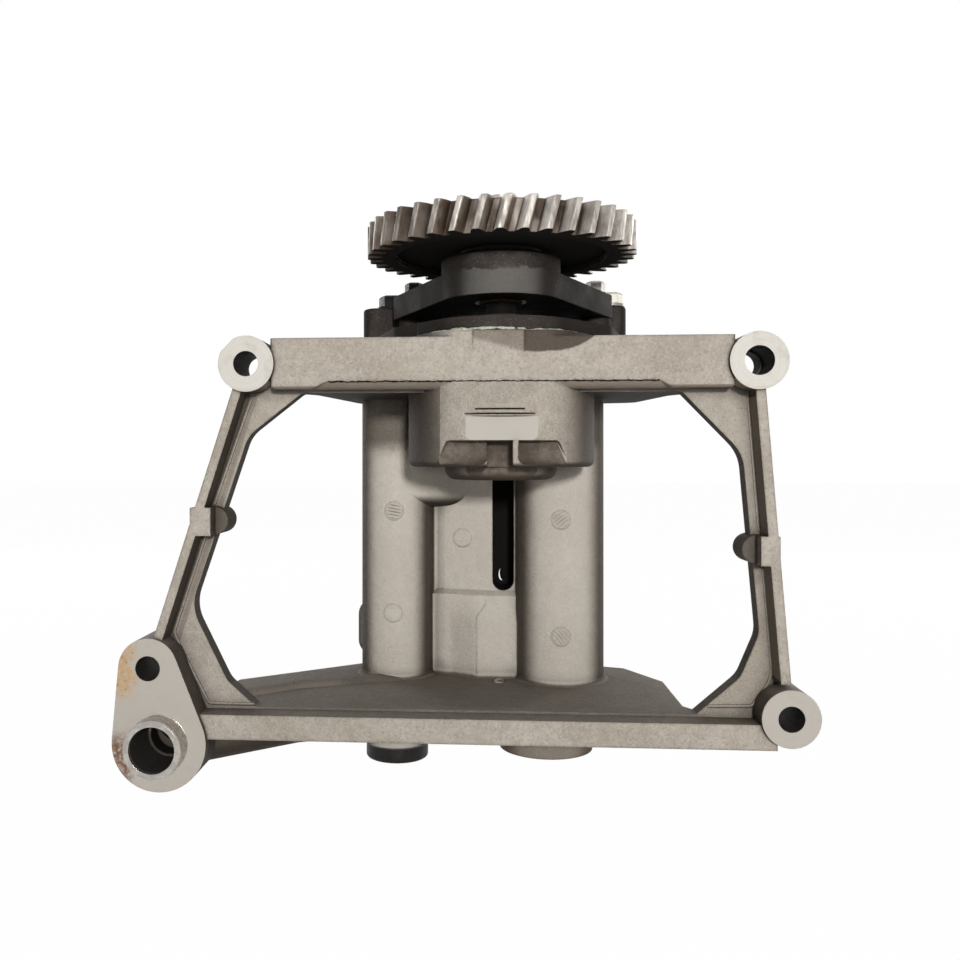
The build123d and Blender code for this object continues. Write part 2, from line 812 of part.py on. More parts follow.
def pump_cover():
    """Flat iron cover with a tall boss at every bolt and a collar round each bush."""
    with BuildPart() as cover:
        with BuildSketch(level(cover_bottom)):
            add(cover_outline())
        extrude(amount=cover_plate)
        with BuildSketch(level(cover_bottom)):
            with Locations(left_boss, left_boss_lobe):
                Circle(outer_boss_radius)
            make_hull()
            with Locations(right_boss):
                Circle(outer_boss_radius)
        extrude(amount=outer_boss_height)
        fillet(cover.edges().group_by(Axis.Z)[-1], boss_top_round)
        with BuildSketch(level(cover_bottom)):
            with Locations(*carrier_bolts, *rear_bosses):
                Circle(cover_boss_radius)
        extrude(amount=cover_height)
        with BuildSketch(level(cover_bottom)):
            with Locations((0, 0), driven_axis):
                Circle(bush_radius + cover_collar)
        extrude(amount=cover_plate + cover_collar_rise)
        with BuildSketch(level(cover_bottom)):
            Circle(bush_radius)
        extrude(amount=cover_height, mode=Mode.SUBTRACT)
        with BuildSketch(level(cover_bottom)):
            with Locations(driven_axis):
                Circle(bush_radius)
        extrude(amount=cover_plate + edge_chamfer, mode=Mode.SUBTRACT)
        with BuildSketch(level(cover_bottom)):
            with Locations(left_boss, right_boss, *rear_bosses):
                Circle(bolt_radius + bolt_hole_clearance)
            with Locations(*carrier_bolts):
                Circle(carrier_bolt_radius + bolt_hole_clearance)
        extrude(amount=outer_boss_height, mode=Mode.SUBTRACT)
        with Locations(*[(x, y, cover_top) for x, y in front_screws]):
            CounterSinkHole(screw_radius + small_gap, screw_head_radius + small_gap, cover_plate)
        with BuildSketch(level(cover_bottom)):
            with Locations(*dowels):
                Circle(dowel_radius)
        extrude(amount=dowel_length / 2, mode=Mode.SUBTRACT)
    return cover.part


def cover_gasket():
    """Thin gasket of the cover's outline with the pump chamber and every bolt cut out."""
    with BuildPart() as gasket:
        with BuildSketch(level(body_face)):
            add(cover_outline(gasket_margin))
            with Locations((0, 0), driven_axis):
                Circle(chamber_radius + small_gap, mode=Mode.SUBTRACT)
            with Locations(left_boss, right_boss, *carrier_bolts, *rear_bosses):
                Circle(bolt_radius + bolt_hole_clearance, mode=Mode.SUBTRACT)
            with Locations(*front_screws):
                Circle(screw_radius + small_gap, mode=Mode.SUBTRACT)
            with Locations(*dowels):
                Circle(dowel_radius + small_gap, mode=Mode.SUBTRACT)
        extrude(amount=gasket_thickness)
        with BuildSketch(facing(beam_front_y + pad_set_back)):
            Rectangle(3 * barrel_radius, -3 * body_face)
        extrude(amount=barrel_radius, mode=Mode.SUBTRACT)
    return gasket.part


def gear_carrier():
    """Iron carrier: the hub that holds the shaft bush, on a three-cornered flange."""
    with BuildPart() as carrier:
        with BuildSketch(level(flange_bottom)):
            Circle(carrier_hub_radius)
            with Locations(left_ear, right_ear):
                Circle(ear_radius)
            make_hull()
        extrude(amount=flange_thickness)
        with BuildSketch(level(flange_top)):
            Circle(carrier_hub_radius)
        extrude(amount=carrier_top - flange_top)
        chamfer(carrier.edges().group_by(Axis.Z)[-1], edge_chamfer)
        with BuildSketch(level(flange_bottom)):
            Circle(hub_bush_radius)
        extrude(amount=carrier_height, mode=Mode.SUBTRACT)
        with BuildSketch(level(flange_bottom)):
            with Locations(*carrier_bolts):
                Circle(carrier_bolt_radius + bolt_hole_clearance)
        extrude(amount=flange_thickness, mode=Mode.SUBTRACT)
    return carrier.part


def ring(outer, inner, bottom, height, at=(0.0, 0.0)):
    """Plain ring, for bushes, washers and seals that lie level."""
    with BuildPart() as body:
        with BuildSketch(Plane(origin=(at[0], at[1], bottom))):
            Circle(outer)
            Circle(inner, mode=Mode.SUBTRACT)
        extrude(amount=height)
    return body.part


def helical_teeth():
    """Right-hand helical gear blank: the profile turns as it rises through the face."""
    turn = degrees(gear_face * tan(radians(gear_helix)) / gear_pitch_radius)
    profile = gear_profile(gear_teeth, gear_pitch_radius, gear_tip_radius, gear_root_radius,
                           gear_pressure_angle, gear_tooth_thinning,
                           radians(gear_front_tooth - turn))
    return Solid.extrude_linear_with_rotation(
        profile.face(), (0, 0, 0), (0, 0, gear_face), turn
    ).moved(Location((0, 0, gear_bottom)))


def drive_gear():
    """Helical drive gear with a rim, a thinner web and a keyed hub."""
    rim = gear_root_radius - gear_rim
    recess = (gear_face - gear_web) / 2
    with BuildPart() as gear:
        add(helical_teeth())
        for plane in (level(gear_face / 2), Plane(origin=(0, 0, gear_bottom), z_dir=(0, 0, -1))):
            with BuildSketch(plane):
                Circle(rim)
                Circle(gear_hub_radius, mode=Mode.SUBTRACT)
            extrude(amount=-recess, mode=Mode.SUBTRACT)
        with BuildSketch(level(gear_face / 2)):
            Circle(gear_hub_radius)
        extrude(amount=gear_hub_proud)
        with BuildSketch(level(gear_bottom)):
            Circle(shaft_radius + small_gap)
            with Locations((0, shaft_radius)):
                Rectangle(key_width + 2 * key_clearance, 2 * key_depth)
        extrude(amount=gear_face + gear_hub_proud, mode=Mode.SUBTRACT)
    return gear.part


def key(bottom, height, radius):
    """Parallel key that lies in a shaft at +Y and reaches into what it drives."""
    with BuildPart() as body:
        with BuildSketch(level(bottom)):
            with Locations((0, radius)):
                Rectangle(key_width, 2 * (key_depth - 2 * key_clearance))
        extrude(amount=height)
    return body.part


def drive_shaft():
    """Stepped shaft: thread, gear seat and bush journal above, pump neck below."""
    gear_seat = gear_face / 2 + gear_hub_proud
    journal_bottom = flange_bottom - shaft_end_proud
    with BuildPart() as shaft:
        with BuildSketch(level(journal_bottom)):
            Circle(shaft_radius)
        extrude(amount=gear_seat - journal_bottom)
        with BuildSketch(level(gear_seat)):
            Circle(thread_radius)
        extrude(amount=thread_length)
        chamfer(shaft.edges().group_by(Axis.Z)[-1], edge_chamfer)
        with BuildSketch(level(shaft_bottom)):
            Circle(neck_radius)
        extrude(amount=journal_bottom - shaft_bottom)
        with BuildSketch(level(gear_bottom)):
            with Locations((0, shaft_radius)):
                Rectangle(key_width + 2 * key_clearance, 2 * key_depth)
        extrude(amount=gear_face + gear_hub_proud, mode=Mode.SUBTRACT)
        with BuildSketch(level(pump_key_bottom)):
            with Locations((0, neck_radius)):
                Rectangle(key_width + 2 * key_clearance, 2 * key_depth)
        extrude(amount=pump_key_length, mode=Mode.SUBTRACT)
    return shaft.part


def pump_gear(at, phase, keyed):
    """Straight-toothed pump gear, which seals against the chamber with its tooth tips."""
    profile = gear_profile(pump_teeth, pump_pitch_radius, pump_tip_radius, pump_root_radius,
                           pump_pressure_angle, pump_tooth_thinning, phase)
    with BuildPart() as gear:
        with BuildSketch(level(pump_gear_bottom)):
            add(profile.moved(Location((at[0], at[1], 0))))
            with Locations(at):
                Circle(neck_radius + small_gap, mode=Mode.SUBTRACT)
        extrude(amount=pump_face)
        if keyed:
            with BuildSketch(level(pump_key_bottom)):
                with Locations((at[0], at[1] + neck_radius)):
                    Rectangle(key_width + 2 * key_clearance, 2 * key_depth)
            extrude(amount=pump_gear_bottom + pump_face - pump_key_bottom, mode=Mode.SUBTRACT)
    return gear.part


def driven_shaft():
    """Plain shaft of the driven gear, which turns with it in two bushes."""
    with BuildPart() as shaft:
        with BuildSketch(level(shaft_bottom)):
            with Locations(driven_axis):
                Circle(neck_radius)
        extrude(amount=cover_bottom + cover_plate - shaft_bottom)
        chamfer(shaft.edges().filter_by(GeomType.CIRCLE), small_chamfer)
    return shaft.part


def outlet_sleeve():
    """Steel sleeve pressed into the lug, with a groove for its seal inside the bore."""
    back = mount_y + sleeve_seat
    with BuildPart() as sleeve:
        with BuildSketch(facing(back)):
            with Locations(outlet_centre):
                Circle(sleeve_radius)
        extrude(amount=sleeve_seat + sleeve_proud)
        chamfer(sleeve.edges().group_by(Axis.Y)[0], small_chamfer)
        with BuildSketch(facing(back)):
            with Locations(outlet_centre):
                Circle(seat_radius)
        extrude(amount=sleeve_seat)
        with BuildSketch(facing(back)):
            with Locations(outlet_centre):
                Circle(sleeve_bore)
        extrude(amount=sleeve_seat + sleeve_proud, mode=Mode.SUBTRACT)
        with BuildSketch(facing(mount_y + sleeve_seat / 2)):
            with Locations(outlet_centre):
                Circle(seat_radius)
                Circle(seat_radius - seal_section / 2, mode=Mode.SUBTRACT)
        extrude(amount=seal_section + 2 * small_gap, mode=Mode.SUBTRACT)
    return sleeve.part


def sleeve_seal():
    """Rubber ring in the groove of the outlet sleeve."""
    with BuildPart() as seal:
        with BuildSketch(facing(mount_y + sleeve_seat / 2 - small_gap)):
            with Locations(outlet_centre):
                Circle(seat_radius)
                Circle(seat_radius - seal_section / 2, mode=Mode.SUBTRACT)
        extrude(amount=seal_section)
    return seal.part


def relief_piston():
    """Cup piston that closes on the seat at the foot of the pressure gallery."""
    with BuildPart() as piston:
        with BuildSketch(level(valve_seat_z - piston_length)):
            with Locations(left_column):
                Circle(valve_bore - running_clearance)
        extrude(amount=piston_length)
        with BuildSketch(level(valve_seat_z - piston_length)):
            with Locations(left_column):
                Circle(valve_bore - piston_wall)
        extrude(amount=piston_length - piston_crown, mode=Mode.SUBTRACT)
    return piston.part


def relief_plug():
    """Black screw plug under the column, with a hexagon socket and a pocket for the spring."""
    with BuildPart() as plug:
        with BuildSketch(level(plug_head_bottom)):
            with Locations(left_column):
                Circle(plug_head_radius)
        extrude(amount=plug_head_height)
        fillet(plug.edges().group_by(Axis.Z)[0], plug_round)
        with BuildSketch(level(plug_head_top)):
            with Locations(left_column):
                Circle(valve_bore - small_gap)
        extrude(amount=plug_top - plug_head_top)
        with BuildSketch(level(plug_pocket_bottom)):
            with Locations(left_column):
                Circle(valve_bore - piston_wall)
        extrude(amount=plug_top - plug_pocket_bottom, mode=Mode.SUBTRACT)
        with BuildSketch(level(plug_head_bottom)):
            with Locations(left_column):
                RegularPolygon(plug_socket / 2, 6, major_radius=False)
        extrude(amount=plug_floor / 2, mode=Mode.SUBTRACT)
    return plug.part


def relief_spring():
    """Coil spring between the plug's pocket and the crown of the piston."""
    bottom = plug_pocket_bottom + spring_wire / 2 + small_gap
    top = valve_seat_z - piston_crown - spring_wire / 2 - small_gap
    radius = valve_bore - piston_wall - spring_wire / 2 - 3 * small_gap
    path = Helix((top - bottom) / spring_turns, top - bottom, radius,
                 center=(left_column[0], left_column[1], bottom))
    with BuildPart() as spring:
        with BuildSketch(Plane(origin=path @ 0, z_dir=path % 0)):
            Circle(spring_wire / 2)
        sweep(path=path, is_frenet=True)
    return spring.part


def gear_nut():
    """Hexagon nut that clamps the gear against its shaft."""
    bottom = gear_face / 2 + gear_hub_proud + washer_thickness
    with BuildPart() as nut:
        with BuildSketch(level(bottom)):
            RegularPolygon(nut_across_flats / 2, 6, major_radius=False)
            Circle(thread_radius + small_gap, mode=Mode.SUBTRACT)
        extrude(amount=nut_height)
        chamfer(nut.edges().filter_by(GeomType.LINE).group_by(Axis.Z)[-1], edge_chamfer)
    return nut.part


def dowel_pins():
    """Two pins that place the cover on the bracket."""
    with BuildPart() as pins:
        with BuildSketch(level(body_face - dowel_length / 2 + loose_fit)):
            with Locations(*dowels):
                Circle(dowel_radius - small_gap / 2)
        extrude(amount=dowel_length - 2 * loose_fit)
    return pins.part


def bush_pair(bottom, height):
    """The two bronze bushes of the pump shafts at one level."""
    with BuildPart() as pair:
        with BuildSketch(level(bottom)):
            with Locations((0, 0), driven_axis):
                Circle(bush_radius)
                Circle(neck_radius + running_clearance, mode=Mode.SUBTRACT)
        extrude(amount=height)
    return pair.part


def plate_ball():
    """Ball that plugs the drilled hole in the plate."""
    with BuildPart() as ball:
        with Locations((ball_centre[0], ball_centre[1], plate_top - ball_radius + ball_rise)):
            Sphere(ball_radius - small_gap)
    return ball.part


def group(solids):
    """Several like solids as one piece of several bodies."""
    with BuildPart() as several:
        for solid in solids:
            add(solid)
    return several.part


os.makedirs("parts", exist_ok=True)

# Fixed castings and what is pressed or screwed into them
finish(pump_bracket(), "pump_bracket")
finish(pump_cover(), "pump_cover")
finish(cover_gasket(), "cover_gasket")
finish(gear_carrier(), "gear_carrier")
finish(ring(hub_bush_radius, shaft_radius + running_clearance, flange_bottom,
            carrier_height), "carrier_bush")
finish(ring(thrust_radius, shaft_radius + loose_fit, carrier_top,
            thrust_thickness - small_gap), "thrust_washer")
finish(bush_pair(shaft_bottom, bush_length), "bracket_bushes")
finish(bush_pair(cover_bottom, cover_plate), "cover_bushes")
finish(cover_bolt(left_boss, outer_boss_height), "cover_bolt_left")
finish(cover_bolt(right_boss, outer_boss_height), "cover_bolt_right")
finish(group([cover_bolt(at) for at in rear_bosses]), "cover_bolts_rear")
finish(group([front_screw(at) for at in front_screws]), "cover_screws_front")
finish(carrier_bolt(carrier_bolts[0]), "carrier_bolt_left")
finish(carrier_bolt(carrier_bolts[1]), "carrier_bolt_right")
finish(dowel_pins(), "dowel_pins")
finish(outlet_sleeve(), "outlet_sleeve")
finish(sleeve_seal(), "sleeve_seal")
finish(plate_ball(), "plate_ball")

# Relief valve
finish(relief_piston(), "relief_piston")
finish(relief_spring(), "relief_spring")
finish(relief_plug(), "relief_plug")
finish(ring(plug_head_radius, valve_bore + loose_fit, plug_head_top, plug_seal_thickness,
            left_column), "plug_seal")

# Drive train and the driven gear
finish(drive_gear(), "drive_gear")
finish(drive_shaft(), "drive_shaft")
finish(key(gear_bottom, gear_face, shaft_radius), "gear_key")
finish(ring(washer_radius, thread_radius + loose_fit, gear_face / 2 + gear_hub_proud,
            washer_thickness), "gear_washer")
finish(gear_nut(), "gear_nut")
finish(pump_gear((0.0, 0.0), pi / 2, True), "driving_pump_gear")
finish(key(pump_key_bottom, pump_key_length, neck_radius), "pump_gear_key")
finish(pump_gear(driven_axis, -pi / 2 + pi / pump_teeth, False), "driven_pump_gear")
finish(driven_shaft(), "driven_shaft")
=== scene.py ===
import math

import bpy
import numpy as np
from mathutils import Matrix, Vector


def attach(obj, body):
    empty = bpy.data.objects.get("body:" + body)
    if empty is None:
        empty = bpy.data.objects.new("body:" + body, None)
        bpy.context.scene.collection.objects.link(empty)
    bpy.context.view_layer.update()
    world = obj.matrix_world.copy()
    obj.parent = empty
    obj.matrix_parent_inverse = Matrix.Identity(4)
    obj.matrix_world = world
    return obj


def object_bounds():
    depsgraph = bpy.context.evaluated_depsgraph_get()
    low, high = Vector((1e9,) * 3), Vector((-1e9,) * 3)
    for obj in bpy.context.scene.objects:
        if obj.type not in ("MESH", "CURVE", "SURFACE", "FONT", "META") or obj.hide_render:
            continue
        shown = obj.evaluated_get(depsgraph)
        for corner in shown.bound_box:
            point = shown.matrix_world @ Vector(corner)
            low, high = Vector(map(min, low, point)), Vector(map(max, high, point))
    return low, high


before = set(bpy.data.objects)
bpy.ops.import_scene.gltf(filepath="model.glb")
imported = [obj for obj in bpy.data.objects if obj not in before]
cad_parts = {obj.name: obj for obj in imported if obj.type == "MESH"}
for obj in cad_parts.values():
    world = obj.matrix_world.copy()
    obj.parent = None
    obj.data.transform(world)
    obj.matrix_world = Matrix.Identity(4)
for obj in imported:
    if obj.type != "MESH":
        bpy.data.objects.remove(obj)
cad_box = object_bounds()


# The view. A short lens close to the bracket, level, at the height of the pump barrel and turned a
# little to the left. The frame's centre is not the lens axis, so the sensor is shifted.
mm = 0.001
picture_px = 960
focal_px = 965
sensor_mm = 36
lens_axis_px = (412, 458)
view_turn = math.radians(4)
eye = (-9.85 * mm, -453 * mm, -100 * mm)

camera_data = bpy.data.cameras.new("camera")
camera_data.sensor_fit = "HORIZONTAL"
camera_data.sensor_width = sensor_mm
camera_data.lens = focal_px / picture_px * sensor_mm
camera_data.shift_x = (picture_px / 2 - lens_axis_px[0]) / picture_px
camera_data.shift_y = (lens_axis_px[1] - picture_px / 2) / picture_px
camera_data.clip_start = 0.01
camera = bpy.data.objects.new("camera", camera_data)
camera.location = eye
camera.rotation_euler = (math.pi / 2, 0, view_turn)
bpy.context.scene.collection.objects.link(camera)
bpy.context.scene.camera = camera
bpy.context.scene.view_settings.view_transform = "Standard"


# The studio: one small key lamp near the camera, a little above it, a weak one high overhead, two
# soft ones behind that light the back and the sides, and an even dim room.
# A pale floor lies under the pump, and only the camera and mirror rays see the room as white.
def linear(code):
    """Turns an sRGB hex colour into the linear values that the shaders use, with full alpha."""
    parts = [int(code[k:k + 2], 16) / 255 for k in (1, 3, 5)]
    return [c / 12.92 if c <= 0.04045 else ((c + 0.055) / 1.055) ** 2.4 for c in parts] + [1.0]


def put(tree, kind, *values, out="", **named):
    """Adds one node and gives back its output called out, or its first one. Values fill its
    inputs in order, a name with a capital fills that input, and any other name sets a property.
    A hex code stands for a colour."""
    node = tree.nodes.new("ShaderNode" + kind)
    for name in [name for name in named if name[0].islower()]:
        setattr(node, name, named.pop(name))
    free = [socket for socket in node.inputs if socket.enabled]
    fills = list(zip(free, values)) + [
        (next(socket for socket in free if socket.name == name.replace("_", " ")), value)
        for name, value in named.items()]
    for socket, value in fills:
        if isinstance(value, bpy.types.NodeSocket):
            tree.links.new(value, socket)
        else:
            socket.default_value = linear(value) if isinstance(value, str) else value
    given = [socket for socket in node.outputs if socket.enabled and out in ("", socket.name)]
    return given[0] if given else None


def room_rays(tree):
    """1 for the rays that see the room as the picture does: camera, mirror and glass rays."""
    seen = put(tree, "LightPath", out="Is Camera Ray")
    for kind in ("Is Glossy Ray", "Is Transmission Ray"):
        seen = put(tree, "Math", seen, put(tree, "LightPath", out=kind), operation="MAXIMUM")
    return seen


room_light = 0.08
world = bpy.data.worlds.new("room")
world.use_nodes = True
world.node_tree.nodes.clear()
room_strength = put(world.node_tree, "MapRange", room_rays(world.node_tree), To_Min=room_light)
put(world.node_tree, "OutputWorld", put(world.node_tree, "Background", "#ffffff", room_strength))
bpy.context.scene.world = world


warm_white = (1.0, 0.985, 0.96)


def lamp(name, place, aim, size, power):
    """A square area lamp at a place, turned so that its face looks at the aim point."""
    data = bpy.data.lights.new(name, "AREA")
    data.size, data.energy = size, power
    data.color = warm_white
    made = bpy.data.objects.new(name, data)
    made.location = place
    way = np.subtract(aim, place)
    made.rotation_euler = (math.acos(way[2] / np.linalg.norm(way)) - math.pi, 0,
                           math.atan2(way[1], way[0]) + math.pi / 2)
    bpy.context.scene.collection.objects.link(made)


pump_middle = (-0.02, 0.02, -0.09)
lamp("key_lamp", (0.14, -1.20, 0.10), pump_middle, 0.10, 12.2)
lamp("top_lamp", (0.25, 0.10, 1.20), pump_middle, 0.50, 3.2)
lamp("rear_lamp_left", (-0.95, 1.00, 0.25), pump_middle, 0.50, 7)
lamp("rear_lamp_right", (0.95, 1.00, 0.25), pump_middle, 0.50, 7)

floor_reach = 6
floor_level = cad_box[0][2]
floor_mesh = bpy.data.meshes.new("studio_floor")
floor_mesh.from_pydata([(x, y, floor_level) for x, y in
                        ((-floor_reach, -floor_reach), (floor_reach, -floor_reach),
                         (floor_reach, floor_reach), (-floor_reach, floor_reach))],
                       [], [(0, 1, 2, 3)])
studio_floor = bpy.data.objects.new("studio_floor", floor_mesh)
bpy.context.scene.collection.objects.link(studio_floor)


def new_material(name):
    """An empty node material and its tree."""
    made = bpy.data.materials.new(name)
    made.use_nodes = True
    made.node_tree.nodes.clear()
    return made, made.node_tree


floor_white = 0.985
floor_paper, paper = new_material("matt_paper_floor")
paper_skin = put(paper, "BsdfDiffuse", "#f1f0ee")
paper_glow = put(paper, "Emission", "#ffffff", 1.0)
paper_share = put(paper, "Math", room_rays(paper), floor_white, operation="MULTIPLY")
put(paper, "OutputMaterial", put(paper, "MixShader", paper_share, paper_skin, paper_glow))
floor_mesh.materials.append(floor_paper)


# The bracket: one aluminium casting, shot blasted, so its skin is warm grey and finely grained.
# Bolt faces, the lug's front and the milled pad are machined after casting and stay bright.
per_mm = 1000
mount_face = -40 * mm
leg_web_front = -26.0
# the milled pad's middle, half its width and its height where its lower corners start to
# round, and their radius
pad_middle, pad_half, pad_foot, pad_corner = -0.5 * mm, 12.5 * mm, -89.4 * mm, 3 * mm
bolt_bore = 9.4 * mm
outlet_bore = 13 * mm
# x and z of the four fixing bolts and of the outlet's sleeve
top_left = (-111.2 * mm, -59 * mm)
top_right = (107.2 * mm, -59 * mm)
low_left = (-154.7 * mm, -192.2 * mm)
low_right = (120.3 * mm, -209.3 * mm)
outlet = (-149.8 * mm, -225.2 * mm)
# makes a change from one value to another start and end softly
eased = {"interpolation_type": "SMOOTHSTEP"}


def product(tree, *factors):
    """The product of any number of values, or the share that is left where several shares meet."""
    total = factors[0]
    for factor in factors[1:]:
        total = put(tree, "Math", total, factor, operation="MULTIPLY")
    return total


def hollow(tree, reach_mm, low=0.35, high=0.9):
    """1 in creases and pockets about reach_mm wide, and 0 on open faces."""
    shade = put(tree, "AmbientOcclusion", Distance=reach_mm * mm, samples=8, out="AO")
    return put(tree, "MapRange", shade, low, high, 1.0, 0.0, **eased)


def from_axis(tree, x, z, centre):
    """Distance from a line along Y through centre (x, z)."""
    across = put(tree, "Math", x, centre[0], operation="SUBTRACT")
    up = put(tree, "Math", z, centre[1], operation="SUBTRACT")
    square = put(tree, "Math", product(tree, across, across), product(tree, up, up),
                 operation="ADD")
    return put(tree, "Math", square, operation="SQRT")


def from_edge(tree, x, z, point, way):
    """Distance in the direction way from an edge through point, both given as (x, z): the
    offsets from the point, each times that part of the direction, added up."""
    across = product(tree, put(tree, "Math", x, point[0], operation="SUBTRACT"), way[0])
    up = product(tree, put(tree, "Math", z, point[1], operation="SUBTRACT"), way[1])
    return put(tree, "Math", across, up, operation="ADD")


def facing_way(tree):
    """The three parts of the direction that the surface faces, in the piece's own frame."""
    return put(tree, "SeparateXYZ", put(tree, "TexCoord", out="Normal")).node.outputs


def faces(tree, axis, low, high, least=0.0, most=1.0):
    """Rises from least to most as the surface's direction along an axis goes from low to high."""
    return put(tree, "MapRange", facing_way(tree)[axis], low, high, least, most, **eased)


cast_aluminium, tree = new_material("shot_blasted_cast_aluminium")
spot = put(tree, "TexCoord", out="Object")
x, y, z = put(tree, "SeparateXYZ", spot).node.outputs
# soft blotches and a finer mottle lie over the blasted grain, which is drawn 1 mm wide, far
# coarser than it is, because it would not show otherwise
blotch = put(tree, "TexNoise", spot, per_mm / 38, 3)
mottle = put(tree, "TexNoise", spot, per_mm / 4.5, 4, 0.6)
grain = put(tree, "TexNoise", spot, per_mm / 1.0, 3, 0.7)
pits = put(tree, "MapRange", put(tree, "TexNoise", spot, per_mm / 1.1, 2, 0.5), 0.71, 0.75, **eased)
skin = put(tree, "Mix", put(tree, "MapRange", blotch, 0.35, 0.65, **eased), "#a79f95", "#b5aea5",
           data_type="RGBA")
skin = put(tree, "Mix", put(tree, "MapRange", mottle, 0.3, 0.75, 0.0, 0.45, **eased), skin,
           "#938a7e", data_type="RGBA")
skin = put(tree, "Mix", put(tree, "MapRange", grain, 0.52, 0.75, 0.0, 0.5, **eased), skin,
           "#cdc8c0", data_type="RGBA")
skin = put(tree, "Mix", put(tree, "MapRange", grain, 0.48, 0.28, 0.0, 0.5, **eased), skin,
           "#6f665b", data_type="RGBA")
skin = put(tree, "Mix", product(tree, pits, 0.5), skin, "#4a433c", data_type="RGBA")
# painted light and shade: walls that turn away from the front are painted darker, level tops a
# little less so and undersides darker still, and the deep front faces low on the columns paler
pale = product(tree, put(tree, "MapRange", y, 5 * mm, 32 * mm, **eased),
               faces(tree, 1, -0.55, -0.9), put(tree, "MapRange", z, -94 * mm, -102 * mm, **eased))
skin = put(tree, "Mix", product(tree, pale, 0.5), skin, "#d6d0c7", data_type="RGBA")
walls = put(tree, "MapRange", put(tree, "Math", facing_way(tree)[1], operation="ABSOLUTE"), 0.9,
            0.5, 0.0, 0.88, **eased)
walls = product(tree, walls, faces(tree, 2, 0.6, 0.95, 1.0, 0.66))
skin = put(tree, "Mix", walls, skin, "#352c24", data_type="RGBA")
skin = put(tree, "Mix", faces(tree, 2, -0.1, -0.75, 0.0, 0.75), skin, "#2a231d", data_type="RGBA")
# painted shadow darkens the column heads under the deck, painted shade the duct under the plate
deck_shadow_and_duct_shade = product(tree, put(tree, "MapRange", y, 5 * mm, 20 * mm, **eased), faces(tree, 1, -0.2, -0.5),
               put(tree, "MapRange", z, -98 * mm, -90 * mm, **eased))
duct = product(tree, put(tree, "MapRange", z, -222.5 * mm, -225 * mm, **eased),
               put(tree, "MapRange", y, -36.5 * mm, -34 * mm, **eased),
               put(tree, "MapRange", x, -70 * mm, -84 * mm, **eased))
deck_shadow_and_duct_shade = put(tree, "Math", product(tree, deck_shadow_and_duct_shade, 0.62), product(tree, duct, 0.75), operation="MAXIMUM")
skin = put(tree, "Mix", deck_shadow_and_duct_shade, skin, "#2f261e", data_type="RGBA")
# painted shade darkens the creases and pockets
hollow_shade = hollow(tree, 10)
skin = put(tree, "Mix", product(tree, hollow_shade, 0.66), skin, "#2b241e", data_type="RGBA")
# the inlet boss under the plate is painted browner towards its bottom
inlet_brown = product(tree, put(tree, "Math", x, 24 * mm, 30 * mm, operation="COMPARE"),
                     put(tree, "MapRange", z, -230.6 * mm, -231.6 * mm, 0.0, 0.62, **eased))
skin = put(tree, "Mix", inlet_brown, skin, "#62554a", data_type="RGBA")
# the rolled lip under the beam's front catches the light again
lip = product(tree, put(tree, "MapRange", z, -71.8 * mm, -67.5 * mm, 0.0, 0.8, **eased),
              put(tree, "Math", z, -66.4 * mm, operation="LESS_THAN"),
              put(tree, "MapRange", y, -27 * mm, -30 * mm, **eased), faces(tree, 2, -0.2, -0.4))
skin = put(tree, "Mix", lip, skin, "#a2978a", data_type="RGBA")
# so does the front of the oil duct that crosses the plate on the left
ridge = product(tree, put(tree, "Math", x, -98 * mm, 26 * mm, operation="COMPARE"),
                put(tree, "Math", z, -209 * mm, 3.3 * mm, operation="COMPARE"),
                put(tree, "MapRange", y, -14 * mm, -12 * mm, **eased),
                put(tree, "MapRange", x, -72 * mm, -84 * mm, **eased),
                faces(tree, 1, -0.1, -0.4, 0.0, 0.5))
skin = put(tree, "Mix", ridge, skin, "#a2978a", data_type="RGBA")
# painted shadow lies along the foot of the rails on the legs' webs, with a brown band painted
# beside the left one
left_gap = from_edge(tree, x, z, (-114.2 * mm, -59 * mm), (0.952, -0.307))
right_gap = from_edge(tree, x, z, (109.5 * mm, -59 * mm), (-0.996, -0.083))
on_web = put(tree, "Math", y, leg_web_front * mm, 0.3 * mm, operation="COMPARE")
foot = put(tree, "Math", put(tree, "Math", left_gap, 3.8 * mm, 1.9 * mm, operation="COMPARE"),
           put(tree, "Math", right_gap, 3.0 * mm, 1.1 * mm, operation="COMPARE"), operation="ADD")
foot = product(tree, foot, on_web, put(tree, "Math", z, -127 * mm, 62 * mm, operation="COMPARE"))
skin = put(tree, "Mix", product(tree, foot, 0.72), skin, "#352c24", data_type="RGBA")
beside = put(tree, "Math", left_gap, 8.0 * mm, 1.0 * mm, operation="COMPARE")
skin = put(tree, "Mix", product(tree, beside, on_web, 0.35), skin, "#5e5046", data_type="RGBA")
# painted light lightens the right rail's inner wall, painted shade darkens the barrel's left side
rail_wall = product(tree, put(tree, "MapRange", x, 98 * mm, 100 * mm, **eased),
                    faces(tree, 0, -0.6, -0.9),
                    put(tree, "Math", y, -25 * mm, operation="LESS_THAN"),
                    put(tree, "Math", z, -134 * mm, 60 * mm, operation="COMPARE"))
skin = put(tree, "Mix", product(tree, rail_wall, 0.6), skin, "#8a8074", data_type="RGBA")
barrel_side_shade = product(tree, faces(tree, 0, -0.35, -0.75),
                put(tree, "Math", x, -40 * mm, 13 * mm, operation="COMPARE"),
                put(tree, "Math", z, -88 * mm, 21 * mm, operation="COMPARE"),
                put(tree, "Math", y, 28 * mm, operation="LESS_THAN"))
skin = put(tree, "Mix", product(tree, barrel_side_shade, 0.65), skin, "#231b15", data_type="RGBA")
